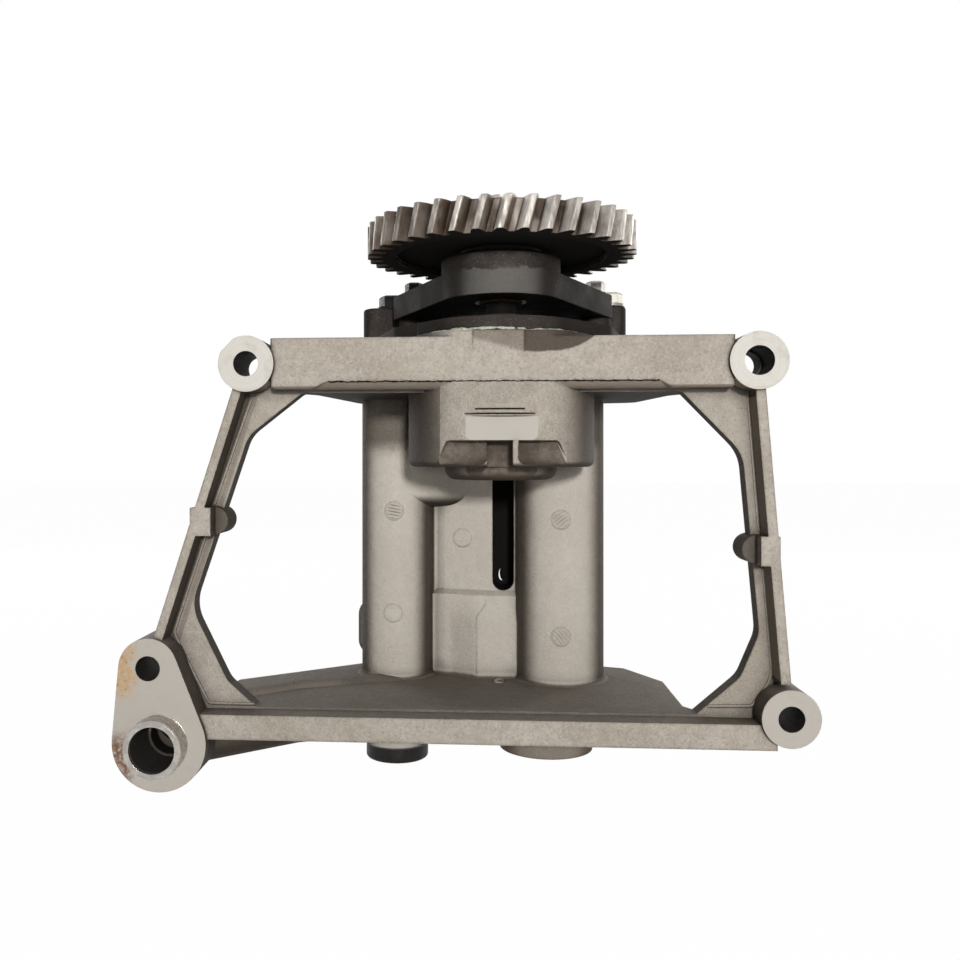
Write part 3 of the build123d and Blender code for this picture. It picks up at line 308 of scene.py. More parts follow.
# the round ends of the tabs on the legs sit back in the shade, so painted shade darkens them
ends = put(tree, "Math", from_axis(tree, x, z, (-128 * mm, -128 * mm)),
           from_axis(tree, x, z, (109 * mm, -139.4 * mm)), operation="MINIMUM")
ends = product(tree, put(tree, "Math", ends, 6.6 * mm, operation="LESS_THAN"),
               put(tree, "MapRange", y, -33 * mm, -31 * mm, **eased))
skin = put(tree, "Mix", product(tree, ends, 0.75), skin, "#352c24", data_type="RGBA")
# painted shade makes the cored slot behind the barrel black, and a brown painted shadow of the
# cover lies on the beam below the gasket
slot = product(tree, put(tree, "Math", x, 2.3 * mm, 6.2 * mm, operation="COMPARE"),
               put(tree, "Math", z, -133 * mm, 36.5 * mm, operation="COMPARE"),
               put(tree, "MapRange", y, 46.8 * mm, 49 * mm, **eased),
               put(tree, "Math", y, 73.5 * mm, operation="LESS_THAN"))
skin = put(tree, "Mix", slot, skin, "#0f0c0a", data_type="RGBA")
drift = product(tree, put(tree, "TexNoise", spot, per_mm / 5, 3, 0.6), 1.4 * mm)
past = put(tree, "Math", put(tree, "Math", x, 21 * mm, operation="SUBTRACT"), 0.0,
           operation="MAXIMUM")
cover_shadow_edge = put(tree, "Math", put(tree, "Math", z, drift, operation="ADD"),
                 product(tree, past, past, 19.0), operation="SUBTRACT")
cover_shadow = product(tree, put(tree, "MapRange", cover_shadow_edge, -54.1 * mm, -53.0 * mm, **eased),
                put(tree, "MapRange", x, 8.6 * mm, 9.4 * mm, **eased),
                put(tree, "Math", y, -20 * mm, operation="LESS_THAN"))
skin = put(tree, "Mix", product(tree, cover_shadow, 0.86), skin, "#3a2f27", data_type="RGBA")
# the painted shadow thins out along a slanting line over the nose
slant = put(tree, "Math", z, product(tree, put(tree, "Math", x, 14 * mm, operation="ADD"), 0.27),
            operation="ADD")
thin = product(tree, put(tree, "MapRange", slant, -49.4 * mm, -46.6 * mm, **eased),
               put(tree, "Math", x, -1.7 * mm, 11 * mm, operation="COMPARE"))
skin = put(tree, "Mix", product(tree, thin, 0.5), skin, "#4a3d33", data_type="RGBA")
# the cast pockets under the milled pad and the bearing boss below them are painted darker brown
pad_side = put(tree, "Math", put(tree, "Math", x, pad_middle, operation="SUBTRACT"),
               operation="ABSOLUTE")
pocket_edge = put(tree, "Math", pad_side,
                  product(tree, put(tree, "Math", z, 92.4 * mm, operation="ADD"), 0.45),
                  operation="ADD")
pocket = product(tree, put(tree, "Math", z, -101.5 * mm, 8.9 * mm, operation="COMPARE"),
                 put(tree, "Math", pocket_edge, 23.6 * mm, operation="LESS_THAN"),
                 put(tree, "MapRange", y, -37.6 * mm, -36.4 * mm, **eased),
                 put(tree, "MapRange", y, -20 * mm, -21 * mm, **eased),
                 put(tree, "MapRange", mottle, 0.3, 0.7, 0.62, 0.82, **eased))
skin = put(tree, "Mix", pocket, skin, "#40352b", data_type="RGBA")
# painted shade blackens the bores, and the faces around them keep the rings of the facing tool,
# drawn 0.5 mm apart because the real ones are too fine to show
holes = (top_left, top_right, low_left, low_right, outlet)
rings = from_axis(tree, x, z, holes[0])
for centre in holes[1:]:
    rings = put(tree, "Math", rings, from_axis(tree, x, z, centre), operation="MINIMUM")
wall_way = put(tree, "Math", put(tree, "Math", facing_way(tree)[1], operation="ABSOLUTE"), 0.5,
               operation="LESS_THAN")
bores = put(tree, "Math", put(tree, "Math", rings, bolt_bore, operation="LESS_THAN"),
            put(tree, "Math", from_axis(tree, x, z, outlet), outlet_bore, operation="LESS_THAN"),
            operation="MAXIMUM")
skin = put(tree, "Mix", product(tree, bores, wall_way, 0.85), skin, "#0f0d0b", data_type="RGBA")
turned = put(tree, "TexNoise", rings, per_mm / 0.5, 1, noise_dimensions="1D")
even_grey = [0.5, 0.5, 0.5, 1]
turned = put(tree, "Mix", put(tree, "MapRange", rings, 22 * mm, 26 * mm, **eased), turned,
             even_grey, data_type="RGBA")
level_cut = put(tree, "Math", y, mount_face, 0.1 * mm, operation="COMPARE")
machined = product(tree, level_cut, faces(tree, 1, -0.99, -0.999))
# the milled pad ends in two round lower corners
past_side = put(tree, "Math", put(tree, "Math", pad_side, pad_half, operation="SUBTRACT"), 0.0,
                operation="MAXIMUM")
past_foot = put(tree, "Math", put(tree, "Math", pad_foot, z, operation="SUBTRACT"), 0.0,
                operation="MAXIMUM")
off_pad = product(tree, put(tree, "Math", x, 0.0, 22 * mm, operation="COMPARE"),
                  put(tree, "Math", from_axis(tree, past_side, past_foot, (0, 0)), pad_corner,
                      operation="GREATER_THAN"))
machined = put(tree, "Math", machined, product(tree, machined, off_pad), operation="SUBTRACT")
bright = put(tree, "Mix", put(tree, "MapRange", turned, 0.3, 0.7, **eased), "#c6c2bc", "#cfccc6",
             data_type="RGBA")
bright = put(tree, "Mix", put(tree, "MapRange", z, -68 * mm, -75 * mm, 0.0, 0.75, **eased), bright,
             "#a8a29b", data_type="RGBA")
bright = put(tree, "Mix",
             put(tree, "MapRange", put(tree, "TexNoise", spot, per_mm / 9, 4, 0.6), 0.5, 0.75, 0.0,
                 0.4, **eased), bright, "#a39d93", data_type="RGBA")
# old coolant has dried to a rusty film along the lug's left edge, above and below the sleeve
film_drift = product(tree, put(tree, "TexNoise", spot, per_mm / 6, 4, 0.65), 16 * mm)
lug_edge = put(tree, "MapRange", put(tree, "Math", x, film_drift, operation="ADD"), -150 * mm,
               -157 * mm, **eased)
gap = put(tree, "Math", put(tree, "Math", z, 213 * mm, operation="ADD"), operation="ABSOLUTE")
film_and_shade = product(tree, lug_edge, put(tree, "MapRange", gap, 4 * mm, 14 * mm, **eased),
               put(tree, "MapRange", z, -176 * mm, -184 * mm, **eased))
speck = put(tree, "TexNoise", spot, per_mm / 1.8, 3, 0.65)
rust = put(tree, "Mix", put(tree, "MapRange", z, -205 * mm, -212 * mm, **eased), "#bb9664",
           "#6a4524", data_type="RGBA")
bright = put(tree, "Mix",
             product(tree, film_and_shade, put(tree, "MapRange", speck, 0.25, 0.6, 0.0, 0.85, **eased)),
             bright, rust, data_type="RGBA")
bright = put(tree, "Mix",
             product(tree, film_and_shade, put(tree, "MapRange", speck, 0.6, 0.7, 0.0, 0.7, **eased)), bright,
             "#5b3c1f", data_type="RGBA")
skin = put(tree, "Mix", machined, skin, bright, data_type="RGBA")
# under the beam's front a thin black painted shadow lies in the crease of the parting line
jag = product(tree, put(tree, "TexNoise", spot, per_mm / 3, 4, 0.7), 1.6 * mm)
flash_shadow = put(tree, "Math", put(tree, "Math", z, jag, operation="ADD"), -66.1 * mm, 0.28 * mm,
             operation="COMPARE")
flash_shadow = product(tree, flash_shadow, put(tree, "Math", x, -4.5 * mm, 71 * mm, operation="COMPARE"))
skin = put(tree, "Mix",
           product(tree, flash_shadow, put(tree, "Math", y, -37.5 * mm, 1.5 * mm, operation="COMPARE")),
           skin, "#17120e", data_type="RGBA")
cast_edge = put(tree, "Bevel", 2.2 * mm, samples=6)
cast_skin = put(tree, "Bump", Height=grain, Distance=0.5 * mm,
                Normal=put(tree, "Bump", Height=mottle, Distance=0.6 * mm, Normal=cast_edge))
cut_skin = put(tree, "Bump", Height=turned, Distance=0.01 * mm,
               Normal=put(tree, "Bevel", 0.4 * mm, samples=6))
skin_way = put(tree, "Mix", machined, cast_skin, cut_skin, data_type="VECTOR")
put(tree, "OutputMaterial",
    put(tree, "BsdfPrincipled", Base_Color=skin, Roughness=0.68, Metallic=0.05, Normal=skin_way,
        Specular_IOR_Level=0.12))


def surface(name, points, finish, around=False):
    """A piece made of a grid of points in mm, joined in quads. Around joins each row's ends."""
    rows, across = points.shape[:2]
    steps = np.arange(across if around else across - 1)
    first = (np.arange(rows - 1)[:, None] * across + steps).ravel()
    last = (np.arange(rows - 1)[:, None] * across + (steps + 1) % across).ravel()
    quads = np.stack([first, last, last + across, first + across], 1)
    mesh = bpy.data.meshes.new(name)
    mesh.from_pydata((points.reshape(-1, 3) * mm).tolist(), [], quads.tolist())
    mesh.polygons.foreach_set("use_smooth", np.ones(len(quads), dtype=bool))
    mesh.materials.append(finish)
    made = bpy.data.objects.new(name, mesh)
    bpy.context.scene.collection.objects.link(made)
    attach(made, "root")


# Ejector marks: the pins of the mould left a shallow round pad at five places on the columns and
# the web. They are part of the casting, and three of them have filed lines across them.
def column_front(x, middle, radius):
    """Y of the front of a round column at x: its middle less the half chord."""
    return middle[1] - np.sqrt(np.maximum(radius ** 2 - (x - middle[0]) ** 2, 0))


def web_front(x):
    """Y of the web's front at x, which comes forward in three straight runs."""
    return np.interp(x, (-40.0, -34.5, -28.0, -2.0), (60.0, 55.5, 53.0, 46.5))


left_column, left_radius = (-53.0, 54.0), 18.5
right_column, right_radius = (31.0, 48.0), 22.5
pin_radius = 5.0
file_pitch = 0.8
file_depth = 0.25


def left_front(x):
    """Y of the left column's front at x."""
    return column_front(x, left_column, left_radius)


def right_front(x):
    """Y of the right column's front at x."""
    return column_front(x, right_column, right_radius)


def ejector_mark(name, centre, front, line_turn):
    """Grid of a round pad that follows the surface front(x). At share s of its radius it stands
    proud by a plateau that falls off at the rim inside a narrow groove, and lines at the angle
    line_turn add a saw tooth ripple to it."""
    share = np.concatenate([np.linspace(0, 0.84, 26), [0.87, 0.9, 0.93, 0.95, 1.0]])[:, None]
    angle = np.linspace(0, 2 * math.pi, 72, endpoint=False)[None, :]
    across, up = pin_radius * share * np.cos(angle), pin_radius * share * np.sin(angle)
    proud = np.interp(share, (0, 0.84, 0.9, 0.95, 1.0), (0.45, 0.45, 0.2, 0.36, -0.1)) + 0 * angle
    if line_turn is not None:
        along = across * math.cos(line_turn) + up * math.sin(line_turn)
        ripple = file_depth * (2 * np.abs((along / file_pitch) % 2 - 1) - 1)
        proud = proud + np.where(share < 0.8, ripple, 0)
    x = centre[0] + across
    points = np.stack([x, front(x) - proud, centre[1] + up], 2)
    surface(name, points, cast_aluminium, around=True)


ejector_mark("ejector_mark_upper_left", (-53.2, -126.9), left_front, math.radians(80))
ejector_mark("ejector_mark_lower_left", (-53.7, -178.8), left_front, None)
ejector_mark("ejector_mark_web", (-18.9, -141.7), web_front, None)
ejector_mark("ejector_mark_upper_right", (30.1, -130.5), right_front, math.radians(-50))
ejector_mark("ejector_mark_lower_right", (30.1, -188.0), right_front, math.radians(40))


# Slot flash: a skin of cast flash closes most of the small hole in the slot's end, so that light
# passes it on the left only. It came with the casting.
def slot_flash(centre, half_axes, floor, rise):
    """Grid of a low dome over an ellipse: at share s of its half axes it stands proud of the
    slot's floor by the rise times one less s squared."""
    share = np.linspace(0, 1, 12)[:, None]
    angle = np.linspace(0, 2 * math.pi, 40, endpoint=False)[None, :]
    x = centre[0] + half_axes[0] * share * np.cos(angle)
    z = centre[1] + half_axes[1] * share * np.sin(angle)
    y = floor - rise * (1 - share ** 2) + 0 * angle
    surface("slot_flash", np.stack([x, y, z], 2), cast_aluminium, around=True)


slot_flash(centre=(3.6, -162.0), half_axes=(2.6, 4.4), floor=69.95, rise=0.35)


# Blends: the columns run into the web, the barrel and the plate in soft fillets. The mould made
# them with the bracket, so they are of the same metal and sunk a little into its faces.
plate_level = -212.5
spur_top = -171.2
blend_sink = 0.1


def smooth_path(points, reach, step=0.5):
    """A path resampled every step and averaged over reach, so that its corners turn softly, and
    the direction at each point that leads away from the wall."""
    runs = np.hypot(*np.diff(points, axis=0).T)
    along = np.concatenate([[0], np.cumsum(runs)])
    places = np.arange(0, along[-1], step)
    even = np.stack([np.interp(places, along, points[:, k]) for k in (0, 1)], 1)
    width = max(1, int(reach / step))
    weights = np.hanning(2 * width + 1) + 1e-6
    padded = np.pad(even, ((width, width), (0, 0)), mode="edge")
    path = np.stack([np.convolve(padded[:, k], weights / weights.sum(), "valid")
                     for k in (0, 1)], 1)
    along = np.gradient(path, axis=0)
    return path, np.stack([along[:, 1], -along[:, 0]], 1) / np.hypot(*along.T)[:, None]


def arc(middle, radius, start, end):
    """Points on a circle from one angle to another, in degrees."""
    angle = np.radians(np.linspace(start, end, 60))
    return np.stack([middle[0] + radius * np.cos(angle), middle[1] + radius * np.sin(angle)], 1)


def lower_plan(z):
    """Plan of the wall at height z: left column, web, the spur beside the right column, and that
    column. The spur's front leans back to the web's between two heights."""
    front = np.interp(z, (-184.0, -171.5), (42.5, 46.4))
    return np.concatenate([
        arc(left_column, left_radius, 100, 358),
        [(-28.0, 51.0), (-24.5, 50.1), (-11.2, front - 0.1), (9.2, front)],
        arc(right_column, right_radius, 194.2, 445)])


upper_plan = np.concatenate([
    arc(left_column, left_radius, 250, 355), [(-33.2, 55.1), (-28.0, 53.0), (-20.0, 51.0)]])
swell_plan = np.concatenate([
    arc(left_column, left_radius, 225, 290),
    [(-40.0, 38.6), (-30.0, 43.6), (-17.0, 50.0), (-12.0, 52.0)]])


def upright_blend(name, plan, reach, low, high, across=420):
    """Grid of a wall that stands on a softened plan, from one height to another. Each row has
    the same number of points across, spaced evenly along the plan at its height."""
    rows = []
    for z in np.linspace(low, high, 30):
        path, out = smooth_path(plan(z), reach)
        path = path - blend_sink * out
        places = np.linspace(0, len(path) - 1, across)
        even = [np.interp(places, np.arange(len(path)), path[:, k]) for k in (0, 1)]
        rows.append(np.column_stack(even + [np.full(across, z)]))
    surface(name, np.stack(rows), cast_aluminium)


upright_blend("column_blend_lower", lower_plan, 3.5, plate_level + 0.5, spur_top)
upright_blend("column_blend_upper", lambda z: upper_plan, 4.5, spur_top, -112.0)


def swell(name, plan, reach, high, low, back, drop=8):
    """Grid of a wall on a softened plan that rounds off below: over a quarter turn it drops to
    its lowest height and draws back from the front."""
    path, out = smooth_path(plan, reach)
    rows = [np.column_stack([path - blend_sink * out, np.full(len(path), high)])]
    for turn in np.linspace(0, math.pi / 2, 16):
        shift = np.array([0, back * (1 - math.cos(turn))])
        height = low + drop * (1 - math.sin(turn))
        rows.append(np.column_stack([path - blend_sink * out + shift,
                                     np.full(len(path), height)]))
    surface(name, np.stack(rows), cast_aluminium)


swell("column_blend_top", swell_plan, 4.5, high=-98.0, low=-125.2, back=9.5)


def foot_fillet(name, plan, radius, level):
    """Grid of a hollow quarter round between a plan's wall and a level face below: the profile
    runs from the face, radius away from the wall, to the wall, radius above the face."""
    path, out = smooth_path(plan, 3.5)
    rows = []
    for turn in np.linspace(0, math.pi / 2, 9):
        reach = radius * (1 - math.sin(turn)) - blend_sink / 2
        height = level + radius * (1 - math.cos(turn))
        rows.append(np.column_stack([path + out * reach, np.full(len(path), height)]))
    surface(name, np.stack(rows), cast_aluminium)


foot_fillet("column_foot_fillet", lower_plan(plate_level), 3.0, plate_level)


# Root beads: along the foot of each leg's rail the mould left a low round bead on the web, cast
# with the bracket. It turns along the lug or the bolt boss and ends above the plate.
bead_radius = 0.75


def root_bead(name, line):
    """Grid of a half round along a softened line of (x, z): the profile turns from one side over
    the top to the other, a little lower than it is wide, and starts below the web's face."""
    path, out = smooth_path(np.array(line), 2.5)
    rows = []
    for turn in np.linspace(-0.3, math.pi + 0.3, 13):
        side = path + out * bead_radius * math.cos(turn)
        front = leg_web_front - 0.8 * bead_radius * math.sin(turn)
        rows.append(np.column_stack([side[:, 0], np.full(len(side), front), side[:, 1]]))
    surface(name, np.stack(rows), cast_aluminium)


root_bead("root_bead_left_upper", ((-112.1, -73.5), (-129.0, -121.2)))
root_bead("root_bead_left_lower", (
    (-132.7, -134.2), (-147.4, -178.5), (-144.2, -185.7), (-131.3, -210.3), (-109.9, -210.4)))
root_bead("root_bead_right_upper", ((106.1, -73.2), (110.8, -132.0)))
root_bead("root_bead_right_lower", (
    (112.5, -147.6), (116.3, -192.5), (114.6, -197.7), (107.8, -207.4), (88.3, -207.7)))


# The parting line: a thin ragged fin of flash under the front of the beam, along its crease. It
# was squeezed out between the halves of the mould and broken off by hand.
beam_front = -37.4
crease_level = -66.5
fin_x = np.linspace(-75.5, 66.5, 285)
fin_reach = np.maximum(0.28 + 0.16 * np.sin(fin_x * 1.7) + 0.12 * np.sin(fin_x * 4.3 + 1)
                       + 0.08 * np.sin(fin_x * 9.1), 0.05)
fin_rise = crease_level + 0.25 * np.sin(fin_x * 0.21) + 0.12 * np.sin(fin_x * 1.1)
fin = np.stack([np.stack([fin_x, beam_front - share * fin_reach, fin_rise + lift], 1)
                for share, lift in ((0, 0.5), (1, 0.15), (1, -0.1), (0, -0.3))])
surface("parting_flash", fin, cast_aluminium)


# The cover and the gear carrier: grey iron castings with a dark, oily sand-cast skin. The front
# of the carrier was wiped, so it is a little lighter there under a ragged edge.
cast_iron, tree = new_material("oiled_grey_cast_iron")
spot = put(tree, "TexCoord", out="Object")
x, y, z = put(tree, "SeparateXYZ", spot).node.outputs
# the sand's grain is drawn 0.9 mm wide, coarser than it is, so that it shows
iron_grain = put(tree, "TexNoise", spot, per_mm / 0.9, 3, 0.65)
iron_blotch = put(tree, "TexNoise", spot, per_mm / 16, 3)
iron = put(tree, "Mix", put(tree, "MapRange", iron_blotch, 0.35, 0.7, **eased), "#37322f",
           "#4b4642", data_type="RGBA")
iron = put(tree, "Mix", put(tree, "MapRange", iron_grain, 0.5, 0.8, 0.0, 0.5, **eased), iron,
           "#6f6963", data_type="RGBA")
wiped = put(tree, "MapRange",
            put(tree, "Math", z,
                product(tree, put(tree, "TexNoise", spot, per_mm / 9, 3, 0.6), 7 * mm),
                operation="ADD"), -11.8 * mm, -13.2 * mm, **eased)
wiped = product(tree, wiped, put(tree, "Math", z, -30 * mm, operation="GREATER_THAN"),
                put(tree, "MapRange", put(tree, "Math", x, operation="ABSOLUTE"), 24 * mm, 15 * mm,
                    **eased))
iron = put(tree, "Mix", product(tree, wiped, 0.34), iron, "#868684", data_type="RGBA")
# painted shade darkens its flanks, the faces that turn away from the front
flanks = put(tree, "MapRange", put(tree, "Math", facing_way(tree)[1], operation="ABSOLUTE"), 0.95,
             0.7, **eased)
iron = put(tree, "Mix", product(tree, flanks, 0.75), iron, "#171412", data_type="RGBA")
# painted shade darkens its hollows and its undersides
iron = put(tree, "Mix", product(tree, hollow(tree, 8), 0.7), iron, "#14110f", data_type="RGBA")
iron = put(tree, "Mix", product(tree, faces(tree, 2, -0.6, -0.95), 0.6), iron, "#1a1614",
           data_type="RGBA")
iron_way = put(tree, "Bump", Height=iron_grain, Distance=0.35 * mm,
               Normal=put(tree, "Bevel", 1.0 * mm, samples=6))
put(tree, "OutputMaterial",
    put(tree, "BsdfPrincipled", Base_Color=iron, Metallic=0.0, Normal=iron_way,
        Roughness=put(tree, "MapRange", iron_blotch, 0.3, 0.7, 0.75, 0.9, **eased),
        Specular_IOR_Level=0.1))


# The drive gear: hobbed and hardened steel. Its flanks are burnished where they mesh and brown
# with old oil at the roots. Their bright flanks and lands are partly painted highlight, and painted
# shade darkens the roots, the left side and the underside.
gear_tip = 62.0 * mm
gear_root = 55.3 * mm
worn_steel, tree = new_material("burnished_gear_steel")
spot = put(tree, "TexCoord", out="Object")
x, y, z = put(tree, "SeparateXYZ", spot).node.outputs
ring_square = put(tree, "Math", product(tree, x, x), product(tree, y, y), operation="ADD")
ring = put(tree, "Math", ring_square, operation="SQRT")
# smears of oil about 2 mm wide are drawn out five times along the gear's axis
smear = put(tree, "TexNoise", put(tree, "Mapping", spot, Scale=(1, 1, 0.2)), per_mm / 2.2, 3, 0.65)
blot = put(tree, "TexNoise", spot, per_mm / 14, 2)
side_way = facing_way(tree)
turn_way = put(tree, "Math", product(tree, x, side_way[1]), product(tree, y, side_way[0]),
               operation="SUBTRACT")
# 1 on the flanks that face clockwise, seen from above, which are the driven ones
drive_side = put(tree, "MapRange", put(tree, "Math", turn_way, ring, operation="DIVIDE"), -0.1,
                 -0.6, **eased)
flank = put(tree, "MapRange", ring, gear_root, gear_tip, **eased)
steel = put(tree, "Mix", flank, "#332922", "#756b60", data_type="RGBA")
steel = put(tree, "Mix", put(tree, "MapRange", smear, 0.4, 0.58, 0.0, 0.85, **eased), steel,
            "#4f4037", data_type="RGBA")
steel = put(tree, "Mix", put(tree, "MapRange", blot, 0.45, 0.65, 0.0, 0.45, **eased), steel,
            "#a79e94", data_type="RGBA")
# painted shade darkens the left side; the lands are painted bright as painted highlight, and the
# driven flanks as burnish and painted highlight, less towards the right
film_and_shade = put(tree, "MapRange", x, -20 * mm, -46 * mm, 0.0, 0.65, **eased)
land = put(tree, "MapRange", ring, gear_tip - 0.9 * mm, gear_tip - 0.2 * mm, **eased)
rubbed_and_highlit = product(tree, put(tree, "MapRange", ring, gear_root, gear_root + 3.2 * mm, **eased),
                 put(tree, "MapRange", smear, 0.35, 0.6, 1.0, 0.6, **eased),
                 put(tree, "MapRange", x, 10 * mm, 38 * mm, 1.0, 0.3, **eased))
steel = put(tree, "Mix", product(tree, drive_side, rubbed_and_highlit), steel, "#efece6", data_type="RGBA")
steel = put(tree, "Mix",
            product(tree, land, put(tree, "MapRange", smear, 0.35, 0.62, 0.7, 0.25, **eased)),
            steel, "#d9d5ce", data_type="RGBA")
steel = put(tree, "Mix", film_and_shade, steel, "#3a2f27", data_type="RGBA")
# painted shade darkens the roots between the teeth
steel = put(tree, "Mix", product(tree, hollow(tree, 5, 0.2, 0.75), 0.8), steel, "#1c1612",
            data_type="RGBA")
# inside the ring of teeth the web is dull and brown, and painted shade makes the underside black
web = put(tree, "MapRange", ring, gear_root - 1.2 * mm, gear_root - 0.4 * mm, **eased)
steel = put(tree, "Mix", web, "#2c2622", steel, data_type="RGBA")
under = faces(tree, 2, -0.5, -0.9)
steel = put(tree, "Mix", under, steel, "#1b1714", data_type="RGBA")
steel_way = put(tree, "Bump", Height=smear, Distance=0.06 * mm,
                Normal=put(tree, "Bevel", 1.0 * mm, samples=6))
put(tree, "OutputMaterial",
    put(tree, "BsdfPrincipled", Base_Color=steel, Normal=steel_way, Specular_IOR_Level=0.2,
        Roughness=put(tree, "Math", under,
                      put(tree, "MapRange", smear, 0.3, 0.7, 0.34, 0.56, **eased),
                      operation="MAXIMUM"),
        Metallic=put(tree, "Math", 0.3, product(tree, under, 0.3), operation="SUBTRACT")))


# Shafts, pins, keys and the sleeve: ground or turned steel, bright, pressed or keyed into place.
# The tool's marks are far finer than the picture shows, so they are drawn 0.4 mm wide.
ground_steel, tree = new_material("turned_bright_steel")
spot = put(tree, "TexCoord", out="Object")
x, y, z = put(tree, "SeparateXYZ", spot).node.outputs
rubbed_and_highlit = put(tree, "TexNoise", spot, per_mm / 3, 3)
steel = put(tree, "Mix", put(tree, "MapRange", rubbed_and_highlit, 0.35, 0.7, **eased), "#a39e97", "#b9b5ae",
            data_type="RGBA")
# between the carrier and the cover the shaft's end and neck are painted dark brown, black below
dark_and_dull = put(tree, "Math", z, -37 * mm, 9.9 * mm, operation="COMPARE")
neck_dark = put(tree, "Mix", put(tree, "MapRange", z, -29.6 * mm, -28.4 * mm, **eased), "#0d0b0a",
           "#3d3129", data_type="RGBA")
steel = put(tree, "Mix", dark_and_dull, steel, neck_dark, data_type="RGBA")
# and painted shade makes the sleeve's bore black
bore = put(tree, "Math", from_axis(tree, x, z, outlet), 10.3 * mm, operation="LESS_THAN")
bore = product(tree, bore, put(tree, "MapRange", y, -49.4 * mm, -47 * mm, **eased))
steel = put(tree, "Mix", product(tree, bore, 0.94), steel, "#171310", data_type="RGBA")
dark_and_dull = put(tree, "Math", dark_and_dull, bore, operation="MAXIMUM")
steel_way = put(tree, "Bump", Height=put(tree, "TexNoise", spot, per_mm / 0.4, 1),
                Distance=0.006 * mm, Normal=put(tree, "Bevel", 0.25 * mm, samples=6))
put(tree, "OutputMaterial",
    put(tree, "BsdfPrincipled", Base_Color=steel, Normal=steel_way, Specular_IOR_Level=0.15,
        Roughness=put(tree, "Math", product(tree, dark_and_dull, 0.8),
                      put(tree, "MapRange", rubbed_and_highlit, 0.3, 0.7, 0.26, 0.32, **eased),
                      operation="MAXIMUM"),
        Metallic=put(tree, "MapRange", dark_and_dull, 0.0, 1.0, 0.9, 0.0, **eased)))


# Screws and the valve plug: forged steel under black oxide, which leaves them dark and half matt,
# or under clear zinc, which leaves them pale and dull. They clamp the cover and the carrier.
black_oxide, tree = new_material("black_oxide_steel")
spot = put(tree, "TexCoord", out="Object")
patch = put(tree, "TexNoise", spot, per_mm / 2.5, 3)
dark = put(tree, "Mix", put(tree, "MapRange", patch, 0.35, 0.7, **eased), "#100f0e", "#1f1d1b",
           data_type="RGBA")
dark_way = put(tree, "Bump", Height=patch, Distance=0.05 * mm,
               Normal=put(tree, "Bevel", 0.4 * mm, samples=6))
put(tree, "OutputMaterial",
    put(tree, "BsdfPrincipled", Base_Color=dark, Metallic=0.0, Normal=dark_way,
        Roughness=put(tree, "MapRange", patch, 0.3, 0.7, 0.42, 0.6, **eased),
        Specular_IOR_Level=0.2))

zinc_plate, tree = new_material("clear_zinc_plated_steel")
spot = put(tree, "TexCoord", out="Object")
patch = put(tree, "TexNoise", spot, per_mm / 2, 3)
zinc = put(tree, "Mix", put(tree, "MapRange", patch, 0.35, 0.7, **eased), "#8b887f", "#a3a096",
           data_type="RGBA")
zinc_way = put(tree, "Bump", Height=patch, Distance=0.05 * mm,
               Normal=put(tree, "Bevel", 0.4 * mm, samples=6))
put(tree, "OutputMaterial",
    put(tree, "BsdfPrincipled", Base_Color=zinc, Metallic=0.4, Normal=zinc_way,
        Roughness=put(tree, "MapRange", patch, 0.3, 0.7, 0.4, 0.5, **eased)))


# Bushes and thrust washer: pressed from bronze powder, sintered and soaked in oil, a dull brown
# yellow with fine pores. The bushes are pressed into the cover, the bracket and the carrier.
sintered_bronze, tree = new_material("sintered_bronze")
spot = put(tree, "TexCoord", out="Object")
# the pores are drawn 0.5 mm wide, coarser than they are, so that they show
pores = put(tree, "TexNoise", spot, per_mm / 0.5, 2)
bronze = put(tree, "Mix", put(tree, "MapRange", pores, 0.4, 0.7, **eased), "#7d5f35", "#a98449",
             data_type="RGBA")
# painted shade darkens its hollows
bronze = put(tree, "Mix", product(tree, hollow(tree, 6), 0.85), bronze, "#1d150d", data_type="RGBA")
bronze_way = put(tree, "Bump", Height=pores, Distance=0.04 * mm,
                 Normal=put(tree, "Bevel", 0.3 * mm, samples=6))
put(tree, "OutputMaterial",
    put(tree, "BsdfPrincipled", Base_Color=bronze, Roughness=0.42, Metallic=0.85,
        Normal=bronze_way))


# The gasket: pale green fibre sheet, cut to the cover's outline and clamped under it. Oil has
# swollen it, so that a soft uneven bead of it stands out along the front.
gasket_fibre, tree = new_material("green_fibre_gasket")
spot = put(tree, "TexCoord", out="Object")
fibre = put(tree, "TexNoise", spot, per_mm / 1.2, 3)
sheet = put(tree, "Mix", put(tree, "MapRange", fibre, 0.35, 0.7, **eased), "#9a9d8e", "#c4c6b6",
            data_type="RGBA")
sheet_way = put(tree, "Bump", Height=fibre, Distance=0.1 * mm,
                Normal=put(tree, "Bevel", 0.2 * mm, samples=6))
put(tree, "OutputMaterial",
    put(tree, "BsdfPrincipled", Base_Color=sheet, Roughness=0.7, Metallic=0.0, Normal=sheet_way))


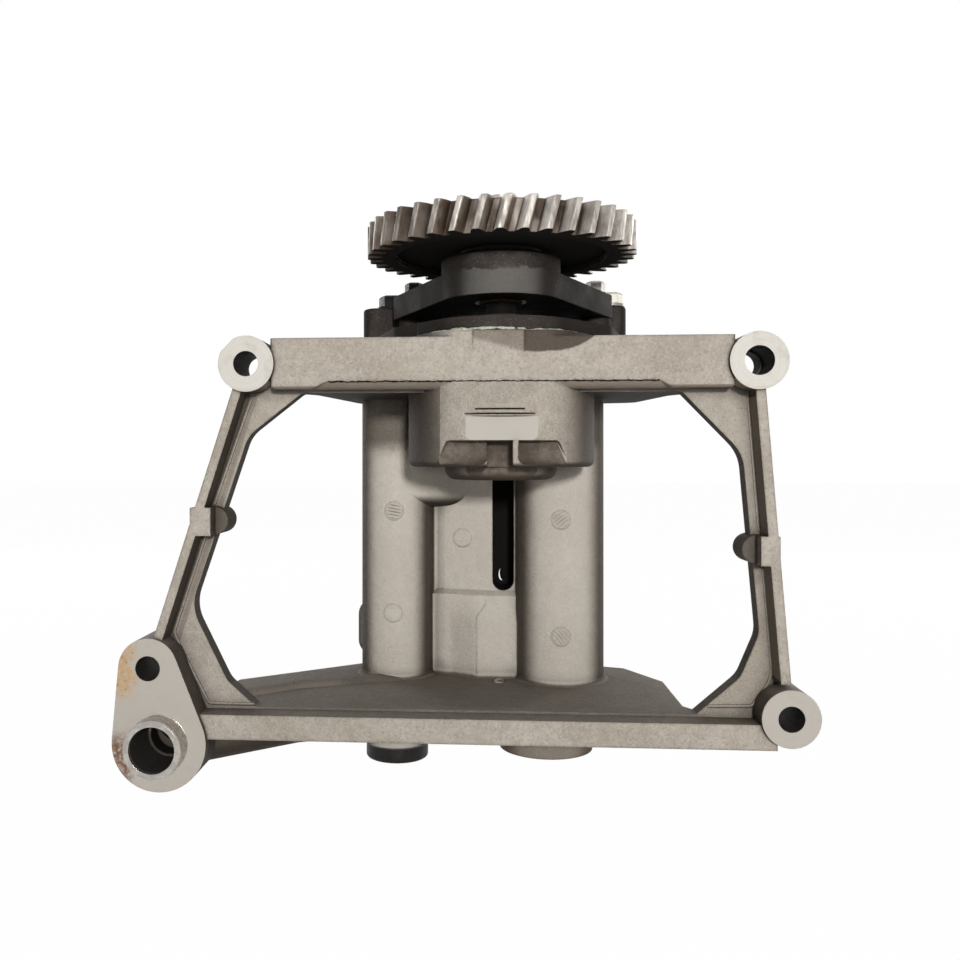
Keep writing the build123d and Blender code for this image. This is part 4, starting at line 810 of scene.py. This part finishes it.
def squeezed_bead(name, stations, turns=14):
    """Grid of a bead along X. Between its stations (x, y, z, radius) it changes evenly, three
    waves make the radius uneven, and its rings are drawn out downwards where it sagged."""
    places = np.arange(stations[0][0], stations[-1][0], 0.5)
    table = np.array(stations).T
    y, z, radius = (np.interp(places, table[0], table[k]) for k in (1, 2, 3))
    radius = 0.6 * radius * (1 + 0.25 * np.sin(places * 0.6) + 0.15 * np.sin(places * 1.5 + 2)
                             + 0.06 * np.sin(places * 3.1))
    angle = np.linspace(0, 2 * math.pi, turns, endpoint=False)
    sag = np.where(np.sin(angle) < 0, 1.35, 0.9)
    points = np.stack([np.repeat(places[:, None], turns, 1),
                       y[:, None] + radius[:, None] * np.cos(angle),
                       z[:, None] + radius[:, None] * np.sin(angle) * sag], 2)
    surface(name, points, gasket_fibre, around=True)


squeezed_bead("gasket_squeeze_out", (
    (-38, -19.0, -44.8, 0), (-33, -23.5, -44.8, 0.8), (-26, -30.4, -44.7, 1.3),
    (-20, -34.6, -44.6, 1.7), (-14, -35.8, -44.6, 1.6), (-12.6, -37.2, -44.2, 0.8),
    (-2, -38.3, -44.0, 0.9), (9.4, -37.4, -44.4, 0.7), (11, -35.4, -44.7, 1.0),
    (18, -35.2, -44.8, 1.2), (25, -32.0, -44.8, 0.9), (31, -26.4, -44.8, 0.8),
    (36, -21.0, -44.8, 0)))


# Seals: black nitrile rubber, moulded, matt with a slight sheen of oil. One ring sits in the
# sleeve's groove and one under the head of the valve plug.
seal_rubber, tree = new_material("oiled_nitrile_rubber")
spot = put(tree, "TexCoord", out="Object")
bloom = put(tree, "TexNoise", spot, per_mm / 1.5, 3)
rubber = put(tree, "Mix", put(tree, "MapRange", bloom, 0.35, 0.7, **eased), "#151413", "#262423",
             data_type="RGBA")
rubber_way = put(tree, "Bump", Height=bloom, Distance=0.04 * mm,
                 Normal=put(tree, "Bevel", 0.3 * mm, samples=6))
put(tree, "OutputMaterial",
    put(tree, "BsdfPrincipled", Base_Color=rubber, Metallic=0.0, Normal=rubber_way,
        Roughness=put(tree, "MapRange", bloom, 0.3, 0.7, 0.4, 0.6, **eased)))


# The finishes: each piece from the CAD model takes the finish that its material slot is named
# for.
finishes = {
    "cast_aluminium": cast_aluminium,
    "cast_iron": cast_iron,
    "gear_steel": worn_steel,
    "bright_steel": ground_steel,
    "black_steel": black_oxide,
    "zinc_steel": zinc_plate,
    "bronze": sintered_bronze,
    "gasket_paper": gasket_fibre,
    "seal_rubber": seal_rubber,
}
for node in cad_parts.values():
    for slot in node.material_slots:
        slot.material = finishes[slot.material.name.split(".")[0]]
